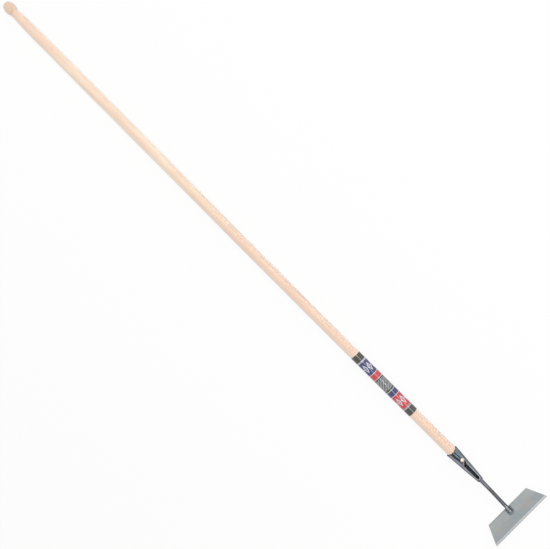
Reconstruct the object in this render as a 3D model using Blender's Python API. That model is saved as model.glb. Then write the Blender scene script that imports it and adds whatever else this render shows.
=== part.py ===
"""A dutch hoe: a trapezium blade on a cranked round neck, a rolled steel socket and an ash handle.

The hoe lies on the ground with the upper face of its blade showing, as it is laid down after use: it rests
on the knob of its handle and on the back edge of its blade. +X runs along the handle from the knob to the
cutting edge, +Z is up, and the origin is on the ground under the middle of the hoe's length and width.
Stations are metres along the handle's axis from the end of the knob, and heights are metres above that axis.
"""

import math

import bmesh
import bpy
from mathutils import Matrix, Vector

# Gap that touching pieces keep
GAP = 0.0003

# Height of the handle's axis above the ground
AXIS_HEIGHT = 0.0168

# Ash handle
HANDLE_LENGTH = 1.690
HANDLE_RADIUS = 0.0144
SWELL_HEIGHT = 0.0007
SWELL_START = 0.04
SWELL_END = 0.76
WAIST_DEPTH = 0.0002
WAIST_START = 0.82
WAIST_END = 1.48
KNOB_RADIUS = 0.0156
KNOB_FRONT_LENGTH = 0.0220
KNOB_FRONT_FULLNESS = 0.86
KNOB_BACK_LENGTH = 0.0168
KNOB_LENGTH = 0.0335
KNOB_GROOVE_LENGTH = 0.0020
THROAT_RADIUS = 0.0117
THROAT_LENGTH = 0.0065
THROAT_FLARE_LENGTH = 0.078
TIP_CHAMFER = 0.0012
HANDLE_SIDES = 40

# Natural bow of the ash: towards +Y and down to the ground at the knob, and towards -Y above the socket
BOW_AT_KNOB = 0.0022
BOW_AT_MIDDLE = -0.0011
BOW_START = 0.10
BOW_MIDDLE = 1.15
BOW_END = 1.60

# Label sleeve
SLEEVE_START = 1.290
SLEEVE_LENGTH = 0.212
SLEEVE_WALL = 0.0004

# Socket
SOCKET_MOUTH = 1.6435
SOCKET_LENGTH = 0.1040
SOCKET_WALL = 0.0016
SOCKET_MOUTH_RADIUS = HANDLE_RADIUS + GAP + SOCKET_WALL
SOCKET_TAIL_RADIUS = 0.0082
SOCKET_BELLY = 0.0004
SOCKET_SPREAD = 0.052
SEAM_ROLL_AT_MOUTH = math.radians(12)
SEAM_ROLL_AT_TAIL = math.radians(-6)
SEAM_ROLL_END = 0.0500
SEAM_HALF_GAP = 0.0004
SLOT_START = 0.0370
SLOT_END = 0.1000
SLOT_HALF_WIDTH = 0.0055
SLOT_TAIL_HALF_WIDTH = 0.0044
SLOT_END_ROUNDING = 0.006
LAP_STEP = 0.0009
LAP_FAR_ANGLE = math.radians(-40)
LAP_NEAR_ANGLE = math.radians(-8)
LAP_FADE_LENGTH = 0.030
SOCKET_SIDES = 30
LAP_SIDES = 7

# Nail that holds the handle in the socket
NAIL_DEPTH_IN_SOCKET = 0.0330
NAIL_HEAD_RADIUS = 0.0054
NAIL_HEAD_HEIGHT = 0.0026
NAIL_SHANK_RADIUS = 0.0019
NAIL_LENGTH = 0.0240
NAIL_POINT_LENGTH = 0.0050
NAIL_HOLE_CLEARANCE = 0.0007
NAIL_SIDES = 28
PILOT_HOLE_SIDES = 16

# Neck, a round bar
NECK_DEPTH_IN_SOCKET = 0.0060
NECK_ROOT_RADIUS = 0.0054
NECK_ROOT_END = 1.790
NECK_RADIUS = 0.00485
NECK_HEEL_RADIUS = 0.0050
NECK_DIP = 0.0075
NECK_DIP_START = 1.770
NECK_DIP_END = 1.838
NECK_THICKENING_START = 1.818
NECK_BEND_RADIUS = 0.014
NECK_LEAN = -0.0024
NECK_LEAN_START = 1.758
NECK_LEAN_END = 1.876
NECK_SIDES = 24
FOOT_LENGTH = 0.0232
FOOT_TAPER_START = 0.4
FOOT_RINGS = 5
FOOT_TIP_HALF_HEIGHT = 0.0030
FOOT_TIP_HALF_WIDTH = 0.0040

# Blade, a plate with its bevel on the upper face
BLADE_TILT = math.radians(45)
BLADE_DEPTH = 0.055
BLADE_BACK_WIDTH = 0.1382
BLADE_EDGE_WIDTH = 0.1836
BLADE_THICKNESS = 0.0025
BEVEL_DEPTH = 0.0055
EDGE_THICKNESS = 0.0006
CORNER_RADIUS = 0.0015
BLADE_BACK_STATION = 1.854

# Welds
SOCKET_WELD_LENGTH = 0.0062
SOCKET_WELD_FLATNESS = 1.4
WELD_CREST_ANGLE = math.radians(80)
BLADE_WELD_START = 0.0006
BLADE_WELD_END = 0.0262
BLADE_WELD_HALF_WIDTH = 0.0090
BLADE_WELD_HEIGHT = 0.0046
BLADE_WELD_SIDES = 36
BLADE_WELD_END_FULLNESS = 0.75
BLADE_WELD_SIDE_FULLNESS = 0.9
BLADE_WELD_CREST_FULLNESS = 0.7

# Worked out from the sizes above
KNOB_SAG = AXIS_HEIGHT - KNOB_RADIUS * math.cos(math.pi / HANDLE_SIDES)
BLADE_BACK_HEIGHT = BLADE_THICKNESS * math.cos(BLADE_TILT) - AXIS_HEIGHT
BLADE_REACH = BLADE_DEPTH * math.cos(BLADE_TILT) + BLADE_THICKNESS * math.sin(BLADE_TILT)
TOTAL_LENGTH = BLADE_BACK_STATION + BLADE_REACH
NAIL_HOLE_RADIUS = NAIL_SHANK_RADIUS + NAIL_HOLE_CLEARANCE


def blend(first, last, share):
    """The value a share of the way from first to last."""
    return first + (last - first) * share


def smooth_step(low, high, value):
    """0 before low, 1 after high, and a smooth rise between them."""
    share = min(1.0, max(0.0, (value - low) / (high - low)))
    return share * share * (3 - 2 * share)


def hump(low, high, value):
    """0 outside low and high, and a smooth rise to 1 halfway between them."""
    share = min(1.0, max(0.0, (value - low) / (high - low)))
    return math.sin(math.pi * share) ** 2


def evenly(first, last, count):
    """Count values from first to last."""
    return [blend(first, last, index / (count - 1)) for index in range(count)]


def make_material(name, colour, roughness, metallic):
    """A Principled material of one colour."""
    material = bpy.data.materials.new(name)
    material.use_nodes = True
    shader = material.node_tree.nodes["Principled BSDF"]
    shader.inputs["Base Color"].default_value = (*colour, 1.0)
    shader.inputs["Roughness"].default_value = roughness
    shader.inputs["Metallic"].default_value = metallic
    material.diffuse_color = (*colour, 1.0)
    return material


def make_object(name, shape, material, parent):
    """Puts a bmesh into the scene as a named object with its round faces shaded smooth."""
    bmesh.ops.remove_doubles(shape, verts=shape.verts, dist=1e-7)
    bmesh.ops.recalc_face_normals(shape, faces=shape.faces)
    mesh = bpy.data.meshes.new(name)
    shape.to_mesh(mesh)
    shape.free()
    mesh.materials.append(material)
    mesh.shade_smooth()
    mesh.set_sharp_from_angle(angle=math.radians(35))
    obj = bpy.data.objects.new(name, mesh)
    bpy.context.scene.collection.objects.link(obj)
    obj.parent = parent
    return obj


def make_empty(name, location, rotation, parent):
    """A frame that carries other objects."""
    empty = bpy.data.objects.new(name, None)
    bpy.context.scene.collection.objects.link(empty)
    empty.location = location
    empty.rotation_euler = rotation
    empty.parent = parent
    return empty


def turned(profile, axis, sides, closed=False):
    """Spins a profile of (distance along the axis, radius) points round the axis, with a flat side down."""
    shape = bmesh.new()
    half_side = Matrix.Rotation(math.pi / sides, 3, axis)
    points = []
    for along, radius in profile:
        point = Vector((along, 0, radius)) if axis == "X" else Vector((radius, 0, along))
        points.append(shape.verts.new(half_side @ point))
    pairs = list(zip(points, points[1:]))
    if closed:
        pairs.append((points[-1], points[0]))
    edges = [shape.edges.new(pair) for pair in pairs]
    bmesh.ops.spin(
        shape,
        geom=points + edges,
        cent=(0, 0, 0),
        axis=(1, 0, 0) if axis == "X" else (0, 0, 1),
        angle=2 * math.pi,
        steps=sides,
        use_merge=True,
    )
    return shape


def skinned(rings):
    """Joins rings of equal length into a closed skin with a flat cap at each end."""
    shape = bmesh.new()
    loops = [[shape.verts.new(point) for point in ring] for ring in rings]
    count = len(loops[0])
    for first, second in zip(loops, loops[1:]):
        for index in range(count):
            following = (index + 1) % count
            shape.faces.new((first[index], first[following], second[following], second[index]))
    shape.faces.new(loops[0])
    shape.faces.new(loops[-1])
    return shape


def cut(obj, cutter):
    """Takes the cutter away from the object and leaves the cutter as a guide that isn't rendered."""
    cutter.hide_render = True
    cutter.display_type = "WIRE"
    modifier = obj.modifiers.new("cut by " + cutter.name, "BOOLEAN")
    modifier.operation = "DIFFERENCE"
    modifier.solver = "EXACT"
    modifier.object = cutter


def socket_radius(depth):
    """The socket's outer radius at a depth behind its mouth: a cone with a slight belly along its slot."""
    share = depth / SOCKET_LENGTH
    belly = smooth_step(0.2, 0.5, share) * (1 - smooth_step(0.82, 0.98, share))
    return blend(SOCKET_MOUTH_RADIUS, SOCKET_TAIL_RADIUS, share) + SOCKET_BELLY * belly


def handle_radius(station):
    """The handle's radius between the knob and the tip: flared, swollen at the grip, coned in the socket."""
    flare = (station - KNOB_LENGTH - THROAT_LENGTH) / THROAT_FLARE_LENGTH
    flare = math.sin(min(1.0, max(0.0, flare)) * math.pi / 2)
    radius = blend(THROAT_RADIUS, HANDLE_RADIUS, flare)
    radius += SWELL_HEIGHT * hump(SWELL_START, SWELL_END, station)
    radius -= WAIST_DEPTH * hump(WAIST_START, WAIST_END, station)
    if station > SOCKET_MOUTH:
        radius = socket_radius(station - SOCKET_MOUTH) - SOCKET_WALL - GAP
    return radius


def handle_bow(station):
    """How far the handle's middle line lies from its axis, towards +Y and down."""
    fall = smooth_step(BOW_START, BOW_MIDDLE, station)
    rise = smooth_step(BOW_MIDDLE, BOW_END, station)
    aside = blend(BOW_AT_KNOB, BOW_AT_MIDDLE, fall) - BOW_AT_MIDDLE * rise
    return Vector((0, aside, -KNOB_SAG * (1 - fall)))


def bowed(shape):
    """Moves a shape that was turned round the axis onto the handle's bowed middle line."""
    for vertex in shape.verts:
        vertex.co += handle_bow(vertex.co.x)
    return shape


def handle_profile():
    """The handle's outline: the knob's blunt front and elliptic back, the shaft, then the chamfered tip."""
    reach = math.asin((KNOB_LENGTH - KNOB_FRONT_LENGTH) / KNOB_BACK_LENGTH)
    profile = [(0, 0)]
    for angle in evenly(math.pi / 2, 0, 12)[1:]:
        station = KNOB_FRONT_LENGTH * (1 - math.sin(angle) ** KNOB_FRONT_FULLNESS)
        profile.append((station, KNOB_RADIUS * math.cos(angle) ** KNOB_FRONT_FULLNESS))
    for angle in evenly(0, reach, 7)[1:]:
        station = KNOB_FRONT_LENGTH + KNOB_BACK_LENGTH * math.sin(angle)
        profile.append((station, KNOB_RADIUS * math.cos(angle)))
    flare_start = KNOB_LENGTH + THROAT_LENGTH
    flare_end = flare_start + THROAT_FLARE_LENGTH
    stations = evenly(KNOB_LENGTH + KNOB_GROOVE_LENGTH, flare_start, 3)
    stations += evenly(flare_start, flare_end, 9)[1:]
    stations += evenly(flare_end, SWELL_END, 13)[1:]
    stations += evenly(WAIST_START, WAIST_END, 13)
    stations += evenly(SOCKET_MOUTH, HANDLE_LENGTH - TIP_CHAMFER, 3)
    profile += [(station, handle_radius(station)) for station in stations]
    tip = handle_radius(HANDLE_LENGTH) - TIP_CHAMFER
    return profile + [(HANDLE_LENGTH, tip), (HANDLE_LENGTH, 0)]


def make_handle(parent, material, nail_frame):
    """The ash shaft with its turned knob, with a pilot hole for the nail."""
    shaft = bowed(turned(handle_profile(), "X", HANDLE_SIDES))
    handle = make_object("ash_handle", shaft, material, parent)
    depth = NAIL_LENGTH + 3 * GAP
    above = NAIL_HEAD_RADIUS
    radius = NAIL_SHANK_RADIUS + GAP
    profile = [(-depth, 0), (-depth, radius), (above, radius), (above, 0)]
    cut(handle, make_object("pilot_drill", turned(profile, "Z", PILOT_HOLE_SIDES), material, nail_frame))


def make_sleeve(parent, material):
    """The film shrunk round the handle above the socket. It follows the handle's waist and bow."""
    stations = evenly(SLEEVE_START, SLEEVE_START + SLEEVE_LENGTH, 6)
    inside = [(station, handle_radius(station) + GAP) for station in stations]
    outside = [(station, radius + SLEEVE_WALL) for station, radius in reversed(inside)]
    film = bowed(turned(inside + outside, "X", HANDLE_SIDES, closed=True))
    make_object("label_sleeve", film, material, parent)


def seam_half_width(depth):
    """Half the space between the socket's lips: a closed seam, a hole for the nail, then an open slot."""
    width = SEAM_HALF_GAP
    if SLOT_START < depth < SLOT_END:
        to_end = min(depth - SLOT_START, SLOT_END - depth)
        rounding = min(1.0, to_end / SLOT_END_ROUNDING)
        share = (depth - SLOT_START) / (SLOT_END - SLOT_START)
        slot = blend(SLOT_HALF_WIDTH, SLOT_TAIL_HALF_WIDTH, share)
        width = max(width, slot * math.sqrt(rounding * (2 - rounding)))
    off_nail = abs(depth - NAIL_DEPTH_IN_SOCKET)
    if off_nail < NAIL_HOLE_RADIUS:
        width = max(width, math.sqrt(NAIL_HOLE_RADIUS**2 - off_nail**2))
    return width


def seam_roll(depth):
    """The seam's angle from the top, towards +Y. The lips wander back to the top along the slot."""
    return blend(SEAM_ROLL_AT_MOUTH, SEAM_ROLL_AT_TAIL, smooth_step(SLOT_START, SEAM_ROLL_END, depth))


def socket_depths():
    """Depths of the socket's rings, close together where the seam opens or closes."""
    quarter = evenly(0, math.pi / 2, 6)
    half = evenly(-math.pi / 2, math.pi / 2, 9)
    depths = evenly(0, NAIL_DEPTH_IN_SOCKET - 1.5 * NAIL_HOLE_RADIUS, 3)
    depths += [NAIL_DEPTH_IN_SOCKET + NAIL_HOLE_RADIUS * math.sin(angle) for angle in half]
    depths += [SLOT_START + SLOT_END_ROUNDING * (1 - math.cos(angle)) for angle in quarter]
    depths += evenly(SLOT_START + SLOT_END_ROUNDING, SLOT_END - SLOT_END_ROUNDING, 6)[1:-1]
    depths += [SLOT_END - SLOT_END_ROUNDING * (1 - math.sin(angle)) for angle in quarter]
    return depths + [SOCKET_LENGTH]


def lapped_radius(depth, angle):
    """The socket's outer radius with the lower lip set down, so that the upper lip laps over it."""
    fade = 1 - smooth_step(SLOT_START, SLOT_START + LAP_FADE_LENGTH, depth)
    from_top = angle - 2 * math.pi if angle > math.pi else -math.pi
    return socket_radius(depth) - LAP_STEP * fade * smooth_step(LAP_FAR_ANGLE, LAP_NEAR_ANGLE, from_top)


def make_socket(parent, material):
    """A plate rolled into a cone, wider across than high at its mouth.

    Its two lips lap as far as the nail and part behind it.
    """
    rings = []
    for depth in socket_depths():
        station = SOCKET_MOUTH + depth
        inner = socket_radius(depth) - SOCKET_WALL
        half_angle = math.asin(seam_half_width(depth) / socket_radius(depth))
        roll = seam_roll(depth)
        lap_start = 2 * math.pi + LAP_FAR_ANGLE
        angles = evenly(roll + half_angle, lap_start, SOCKET_SIDES + 1)
        angles += evenly(lap_start, roll + 2 * math.pi - half_angle, LAP_SIDES + 1)[1:]
        edge = [(lapped_radius(depth, angle), angle) for angle in angles]
        edge += [(inner, angle) for angle in reversed(angles)]
        spread = 1 + SOCKET_SPREAD * (1 - smooth_step(0, SOCKET_LENGTH, depth))
        outline = [(spread * radius * math.sin(angle), radius * math.cos(angle)) for radius, angle in edge]
        rings.append([Vector((station, across, height)) for across, height in outline])
    make_object("socket", skinned(rings), material, parent)


def make_nail(nail_frame, material):
    """A domed nail, driven through the seam into the wood."""
    sphere = (NAIL_HEAD_RADIUS**2 + NAIL_HEAD_HEIGHT**2) / (2 * NAIL_HEAD_HEIGHT)
    reach = math.asin(NAIL_HEAD_RADIUS / sphere)
    profile = []
    for angle in evenly(0, reach, 8):
        profile.append((NAIL_HEAD_HEIGHT - sphere * (1 - math.cos(angle)), sphere * math.sin(angle)))
    profile += [
        (0, NAIL_SHANK_RADIUS),
        (NAIL_POINT_LENGTH - NAIL_LENGTH, NAIL_SHANK_RADIUS),
        (-NAIL_LENGTH, 0),
    ]
    make_object("handle_nail", turned(profile, "Z", NAIL_SIDES), material, nail_frame)


def neck_sections():
    """(centre, half width, half height) of the neck's sections: tapered, dipped, bent up, then flattened.

    The neck leans a little towards -Y on its way, so its foot lies off the blade's middle.
    """
    along = Vector((math.cos(BLADE_TILT), 0, math.sin(BLADE_TILT)))
    up = Vector((-math.sin(BLADE_TILT), 0, math.cos(BLADE_TILT)))
    blade_back = Vector((BLADE_BACK_STATION, 0, BLADE_BACK_HEIGHT))
    heel = blade_back + up * (NECK_HEEL_RADIUS + GAP)
    corner = heel + along * ((-NECK_DIP - heel.z) / along.z)
    bend_start = corner.x - NECK_BEND_RADIUS * math.tan(BLADE_TILT / 2)
    neck_start = SOCKET_MOUTH + SOCKET_LENGTH - NECK_DEPTH_IN_SOCKET
    sections = []
    for station in evenly(neck_start, NECK_DIP_START, 3) + evenly(NECK_DIP_START, bend_start, 10)[1:]:
        height = -NECK_DIP * smooth_step(NECK_DIP_START, NECK_DIP_END, station)
        radius = blend(NECK_ROOT_RADIUS, NECK_RADIUS, smooth_step(neck_start, NECK_ROOT_END, station))
        thickening = smooth_step(NECK_THICKENING_START, bend_start, station)
        radius += (NECK_HEEL_RADIUS - NECK_RADIUS) * thickening
        sections.append((Vector((station, 0, height)), radius, radius))
    for angle in evenly(0, BLADE_TILT, 7)[1:]:
        turn = Vector((math.sin(angle), 0, 1 - math.cos(angle))) * NECK_BEND_RADIUS
        sections.append((Vector((bend_start, 0, -NECK_DIP)) + turn, NECK_HEEL_RADIUS, NECK_HEEL_RADIUS))
    bend_end = sections[-1][0]
    straight = (blade_back + along * FOOT_LENGTH - bend_end).dot(along)
    for share in evenly(FOOT_TAPER_START, 1, FOOT_RINGS):
        taper = ((share - FOOT_TAPER_START) / (1 - FOOT_TAPER_START)) ** 2
        half_width = blend(NECK_HEEL_RADIUS, FOOT_TIP_HALF_WIDTH, taper)
        half_height = blend(NECK_HEEL_RADIUS, FOOT_TIP_HALF_HEIGHT, taper)
        drop = up * (NECK_HEEL_RADIUS - half_height)
        sections.append((bend_end + along * straight * share - drop, half_width, half_height))
    for centre, _, _ in sections:
        centre.y = NECK_LEAN * smooth_step(NECK_LEAN_START, NECK_LEAN_END, centre.x)
    return sections


def neck_direction(centres, index):
    """The neck's direction at one of its sections, from the centres beside it."""
    if index == 0:
        direction = Vector((1, 0, 0))
    elif index >= len(centres) - FOOT_RINGS:
        direction = Vector((math.cos(BLADE_TILT), 0, math.sin(BLADE_TILT)))
    else:
        direction = (centres[index + 1] - centres[index - 1]).normalized()
    return direction


def make_neck(parent, material, name, grown=0.0):
    """The round bar between the socket and the blade. Grown makes it larger all over, for a cutter."""
    sections = neck_sections()
    centres = [section[0] for section in sections]
    rings = []
    for index, (centre, half_width, half_height) in enumerate(sections):
        direction = neck_direction(centres, index)
        up = Vector((-direction.z, 0, direction.x))
        if index == len(sections) - 1:
            centre = centre + direction * grown
        ring = []
        for side in range(NECK_SIDES):
            angle = 2 * math.pi * (side + 0.5) / NECK_SIDES
            across = Vector((0, (half_width + grown) * math.cos(angle), 0))
            ring.append(centre + across + up * (half_height + grown) * math.sin(angle))
        rings.append(ring)
    return make_object(name, skinned(rings), material, parent)


def make_socket_weld(parent, material):
    """The ring of weld that closes the socket's tail round the neck, with a sloping, slightly round face."""
    start = SOCKET_MOUTH + SOCKET_LENGTH + GAP
    inner = NECK_ROOT_RADIUS + GAP
    profile = [(start, inner)]
    for angle in evenly(0, WELD_CREST_ANGLE, 6):
        radius = blend(inner, SOCKET_TAIL_RADIUS, math.cos(angle) ** SOCKET_WELD_FLATNESS)
        profile.append((start + SOCKET_WELD_LENGTH * math.sin(angle) ** SOCKET_WELD_FLATNESS, radius))
    profile.append((start + SOCKET_WELD_LENGTH, inner))
    make_object("socket_weld", turned(profile, "X", SOCKET_SIDES, closed=True), material, parent)


def make_blade(blade_frame, material):
    """A trapezium plate, ground to a bevel on its upper face along the wide cutting edge."""
    underside = -BLADE_THICKNESS
    profile = [
        (0, underside),
        (BLADE_DEPTH, underside),
        (BLADE_DEPTH, underside + EDGE_THICKNESS),
        (BLADE_DEPTH - BEVEL_DEPTH, 0),
        (0, 0),
    ]
    rings = []
    for side in (-1, 1):
        ring = []
        for along, height in profile:
            width = blend(BLADE_BACK_WIDTH, BLADE_EDGE_WIDTH, along / BLADE_DEPTH)
            ring.append(Vector((along, side * width / 2, height)))
        rings.append(ring)
    shape = skinned(rings)
    corners = [edge for edge in shape.edges if (edge.verts[0].co - edge.verts[1].co).xy.length < 1e-6]
    bmesh.ops.bevel(shape, geom=corners, offset=CORNER_RADIUS, segments=3, profile=0.5, affect="EDGES")
    make_object("blade", shape, material, blade_frame)


def make_blade_weld(blade_frame, material, parent):
    """The bead round the neck's foot: a low rounded mound on the blade, with the foot taken out of it."""
    middle = (BLADE_WELD_START + BLADE_WELD_END) / 2
    half_length = (BLADE_WELD_END - BLADE_WELD_START) / 2
    rings = []
    for level in evenly(0, WELD_CREST_ANGLE, 6):
        spread = math.cos(level) ** BLADE_WELD_CREST_FULLNESS
        height = GAP + BLADE_WELD_HEIGHT * math.sin(level)
        ring = []
        for side in range(BLADE_WELD_SIDES):
            angle = 2 * math.pi * side / BLADE_WELD_SIDES
            along = math.copysign(abs(math.cos(angle)) ** BLADE_WELD_END_FULLNESS, math.cos(angle))
            across = math.copysign(abs(math.sin(angle)) ** BLADE_WELD_SIDE_FULLNESS, math.sin(angle))
            forward = middle + half_length * spread * along
            ring.append(Vector((forward, NECK_LEAN + BLADE_WELD_HALF_WIDTH * spread * across, height)))
        rings.append(ring)
    weld = make_object("blade_weld", skinned(rings), material, blade_frame)
    cut(weld, make_neck(parent, material, "foot_cutter", grown=GAP))


def main():
    """Clears the scene and builds the hoe."""
    for obj in list(bpy.data.objects):
        bpy.data.objects.remove(obj)
    ash = make_material("ash_wood", (0.95, 0.73, 0.54), 0.45, 0.0)
    film = make_material("printed_film", (0.06, 0.06, 0.065), 0.35, 0.0)
    lacquered_steel = make_material("dark_lacquered_steel", (0.15, 0.17, 0.19), 0.35, 0.4)
    weld_metal = make_material("weld_metal", (0.12, 0.14, 0.15), 0.5, 0.6)
    blade_steel = make_material("hardened_steel_plate", (0.36, 0.40, 0.38), 0.42, 0.8)
    nail_steel = make_material("bright_nail_steel", (0.80, 0.72, 0.68), 0.25, 1.0)

    hoe = make_empty("hoe", (-TOTAL_LENGTH / 2, 0, AXIS_HEIGHT), (0, 0, 0), None)
    cone_angle = math.atan2(SOCKET_MOUTH_RADIUS - SOCKET_TAIL_RADIUS, SOCKET_LENGTH)
    seat = socket_radius(NAIL_DEPTH_IN_SOCKET) + GAP
    seam_frame = make_empty("seam_frame", (SOCKET_MOUTH, 0, 0), (-SEAM_ROLL_AT_MOUTH, 0, 0), hoe)
    nail_frame = make_empty("nail_frame", (NAIL_DEPTH_IN_SOCKET, 0, seat), (0, cone_angle, 0), seam_frame)
    blade_back = (BLADE_BACK_STATION, 0, BLADE_BACK_HEIGHT)
    blade_frame = make_empty("blade_frame", blade_back, (0, -BLADE_TILT, 0), hoe)

    make_handle(hoe, ash, nail_frame)
    make_sleeve(hoe, film)
    make_socket(hoe, lacquered_steel)
    make_nail(nail_frame, nail_steel)
    make_neck(hoe, lacquered_steel, "neck_rod")
    make_socket_weld(hoe, weld_metal)
    make_blade(blade_frame, blade_steel)
    make_blade_weld(blade_frame, weld_metal, hoe)


main()
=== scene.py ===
"""Fine surfaces and finishes of a dutch hoe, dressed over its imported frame.

Lengths are metres in the frame's own axes: +X runs along the handle from the knob to the cutting edge, +Z is
up, and the hoe lies on the ground at Z = 0. A station is a distance along the handle from the end of the
knob. Fields whose names end in _mm are millimetres, for patterns and the lens.
"""

import logging
import math
from dataclasses import dataclass, field
from enum import Enum
from typing import Any

import bmesh
import bpy
import numpy as np
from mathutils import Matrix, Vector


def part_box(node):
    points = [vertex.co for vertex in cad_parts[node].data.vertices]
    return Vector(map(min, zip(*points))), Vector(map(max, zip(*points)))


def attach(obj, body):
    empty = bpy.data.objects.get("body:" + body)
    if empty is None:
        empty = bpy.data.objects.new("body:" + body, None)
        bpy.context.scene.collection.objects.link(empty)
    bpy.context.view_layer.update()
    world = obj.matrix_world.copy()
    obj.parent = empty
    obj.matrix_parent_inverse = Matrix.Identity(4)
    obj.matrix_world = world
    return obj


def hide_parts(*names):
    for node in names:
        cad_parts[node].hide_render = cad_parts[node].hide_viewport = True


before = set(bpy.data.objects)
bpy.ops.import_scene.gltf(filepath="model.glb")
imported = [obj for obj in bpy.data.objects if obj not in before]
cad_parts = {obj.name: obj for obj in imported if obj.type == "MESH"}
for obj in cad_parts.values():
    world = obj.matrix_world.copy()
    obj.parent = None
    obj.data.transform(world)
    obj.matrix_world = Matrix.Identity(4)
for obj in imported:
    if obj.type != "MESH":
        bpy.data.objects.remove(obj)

Array = np.ndarray
Socket = bpy.types.NodeSocket
LOG = logging.getLogger("dutch_hoe")
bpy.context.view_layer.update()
PER_MM = 1000.0
FULL_TURN = 2 * math.pi
QUARTER_TURN = math.pi / 2
MIX_A, MIX_B, MIX_RESULT = 6, 7, 2

KNOB_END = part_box("ash_handle")[0][0]
AXIS_HEIGHT = 0.0168
GAP = 0.0003


class Slot(Enum):
    """The record's material slots."""

    WOOD = "ash_wood"
    FILM = "printed_film"
    LACQUERED = "dark_lacquered_steel"
    NAIL = "bright_nail_steel"
    BLADE = "blade_steel"
    WELD = "weld_metal"


def between(start: Array, end: Array, share: Array) -> Array:
    """The value that lies at a share of the straight way from start to end."""
    return start + (end - start) * share


def part_way(low: float, high: float, value: Array) -> Array:
    """How far a value has come from low to high, held to 0..1."""
    return np.clip((value - low) / (high - low), 0, 1)


def smooth_step(low: float, high: float, value: Array) -> Array:
    """A smooth rise from 0 to 1: 3t^2 - 2t^3, where t is the part of the way from low to high."""
    share = part_way(low, high, value)
    return share * share * (3 - 2 * share)


def plateau(rise: tuple[float, float], fall: tuple[float, float], value: Array) -> Array:
    """A smooth rise from 0 to 1 over one range, times a smooth fall back to 0 over another."""
    return smooth_step(*rise, value) * (1 - smooth_step(*fall, value))


def hump(low: float, high: float, value: Array) -> Array:
    """A smooth hill, 1 halfway between low and high: the squared sine of half a turn."""
    return np.sin(math.pi * part_way(low, high, value)) ** 2


def rounding(distance: Array, radius: float) -> Array:
    """The height of a quarter circle at a distance in from its edge: sqrt(1 - (1 - d/r)^2), then 1."""
    left = 1 - np.clip(distance / radius, 0, 1)
    return np.sqrt(1 - left * left)


def unit(vectors: Array) -> Array:
    """The rows of an array, each brought to a length of 1."""
    return vectors / np.linalg.norm(vectors, axis=1)[:, None]


def ripple(value: Array, wavelengths: tuple[float, ...], seed: int) -> Array:
    """A slow unevenness within -1..1: the mean of one sine per wavelength, each with its own phase.

    Args:
        value: Where to read it.
        wavelengths: In the unit of value.
        seed: Picks the phases.

    Returns:
        Its heights.
    """
    phases = np.random.default_rng(seed).uniform(0, FULL_TURN, len(wavelengths))
    waves = [np.sin(FULL_TURN * value / length + phase) for length, phase in zip(wavelengths, phases)]
    return np.mean(waves, axis=0)


def scale_marks(run: Array, across: Array, pitch: float) -> Array:
    """The crescents of a weld bead: a sharp-fronted wave along the run, bent back by the square of across.

    Args:
        run: Distance along the bead.
        across: Place across the bead, in -1..1.
        pitch: Distance from crescent to crescent.

    Returns:
        Heights within about -1..1, faded out at the bead's toes.
    """
    phase = FULL_TURN * (run / pitch - 0.55 * across * across)
    wave = np.sin(phase) + 0.45 * np.sin(2 * phase + 0.6) + 0.2 * np.sin(3 * phase + 1.1)
    return wave / 1.4 * (1 - across * across)


def wall_loop(points: int, lip_points: int) -> tuple[Array, Array, Array]:
    """A way round a thin wall: along its outside, round the far end, back along its inside, round the near.

    Args:
        points: Points along each side.
        lip_points: Points round each end.

    Returns:
        Place along the wall in 0..1, side (1 outside, -1 inside) and reach past the ends (1 at the far one,
        -1 at the near one).
    """
    share = np.linspace(0, 1, points)
    turn = np.linspace(0, math.pi, lip_points + 2)[1:-1]
    along = np.concatenate([share, 1 + 0 * turn, share[::-1], 0 * turn])
    side = np.concatenate([1 + 0 * share, np.cos(turn), -1 + 0 * share, -np.cos(turn)])
    beyond = np.concatenate([0 * share, np.sin(turn), 0 * share, -np.sin(turn)])
    return along, side, beyond


def ring_angles(sides: int) -> Array:
    """Angles of a ring's points, from the top towards +Y, as (1, sides)."""
    return np.linspace(0, FULL_TURN, sides, endpoint=False)[None, :]


def revolve(along: Array, radius: Array, sides: int) -> Array:
    """Turns a profile round the X axis: y = r sin(a), z = r cos(a).

    Args:
        along: X of each ring, or of each of its points, as (rings, sides).
        radius: Radius of each ring, or of each of its points.
        sides: Points round each ring.

    Returns:
        Points as (rings, sides, 3).
    """
    angle = ring_angles(sides)
    along, radius = [part if np.ndim(part) == 2 else part[:, None] for part in (along, radius)]
    return np.stack([along + 0 * angle, radius * np.sin(angle), radius * np.cos(angle)], axis=-1)


def on_axis(points: Array) -> Array:
    """Moves points from (station, y, height above the handle's axis) into the frame."""
    return points + np.array([KNOB_END, 0, AXIS_HEIGHT])


@dataclass(frozen=True)
class Bow:
    """The natural bow of the ash: the handle's middle line as it lies off its axis, towards +Y and down."""

    at_knob: float = 0.0022
    at_middle: float = -0.0011
    knob_sag: float = 0.00125
    start: float = 0.10
    middle: float = 1.15
    end: float = 1.60

    def bent(self, points: Array) -> Array:
        """Moves points that were turned round the axis onto the middle line.

        Aside, the line falls smoothly from the knob's side to the other and rises to the axis at the socket.
        Its sag fades out as smoothly, so that the knob's end rests on the ground.

        Args:
            points: Points with their station first.

        Returns:
            The moved points.
        """
        station = points[..., :1]
        fall = smooth_step(self.start, self.middle, station)
        rise = smooth_step(self.middle, self.end, station)
        aside = between(self.at_knob, self.at_middle, fall) - self.at_middle * rise
        return points + aside * np.array([0, 1, 0]) - self.knob_sag * (1 - fall) * np.array([0, 0, 1])


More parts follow.
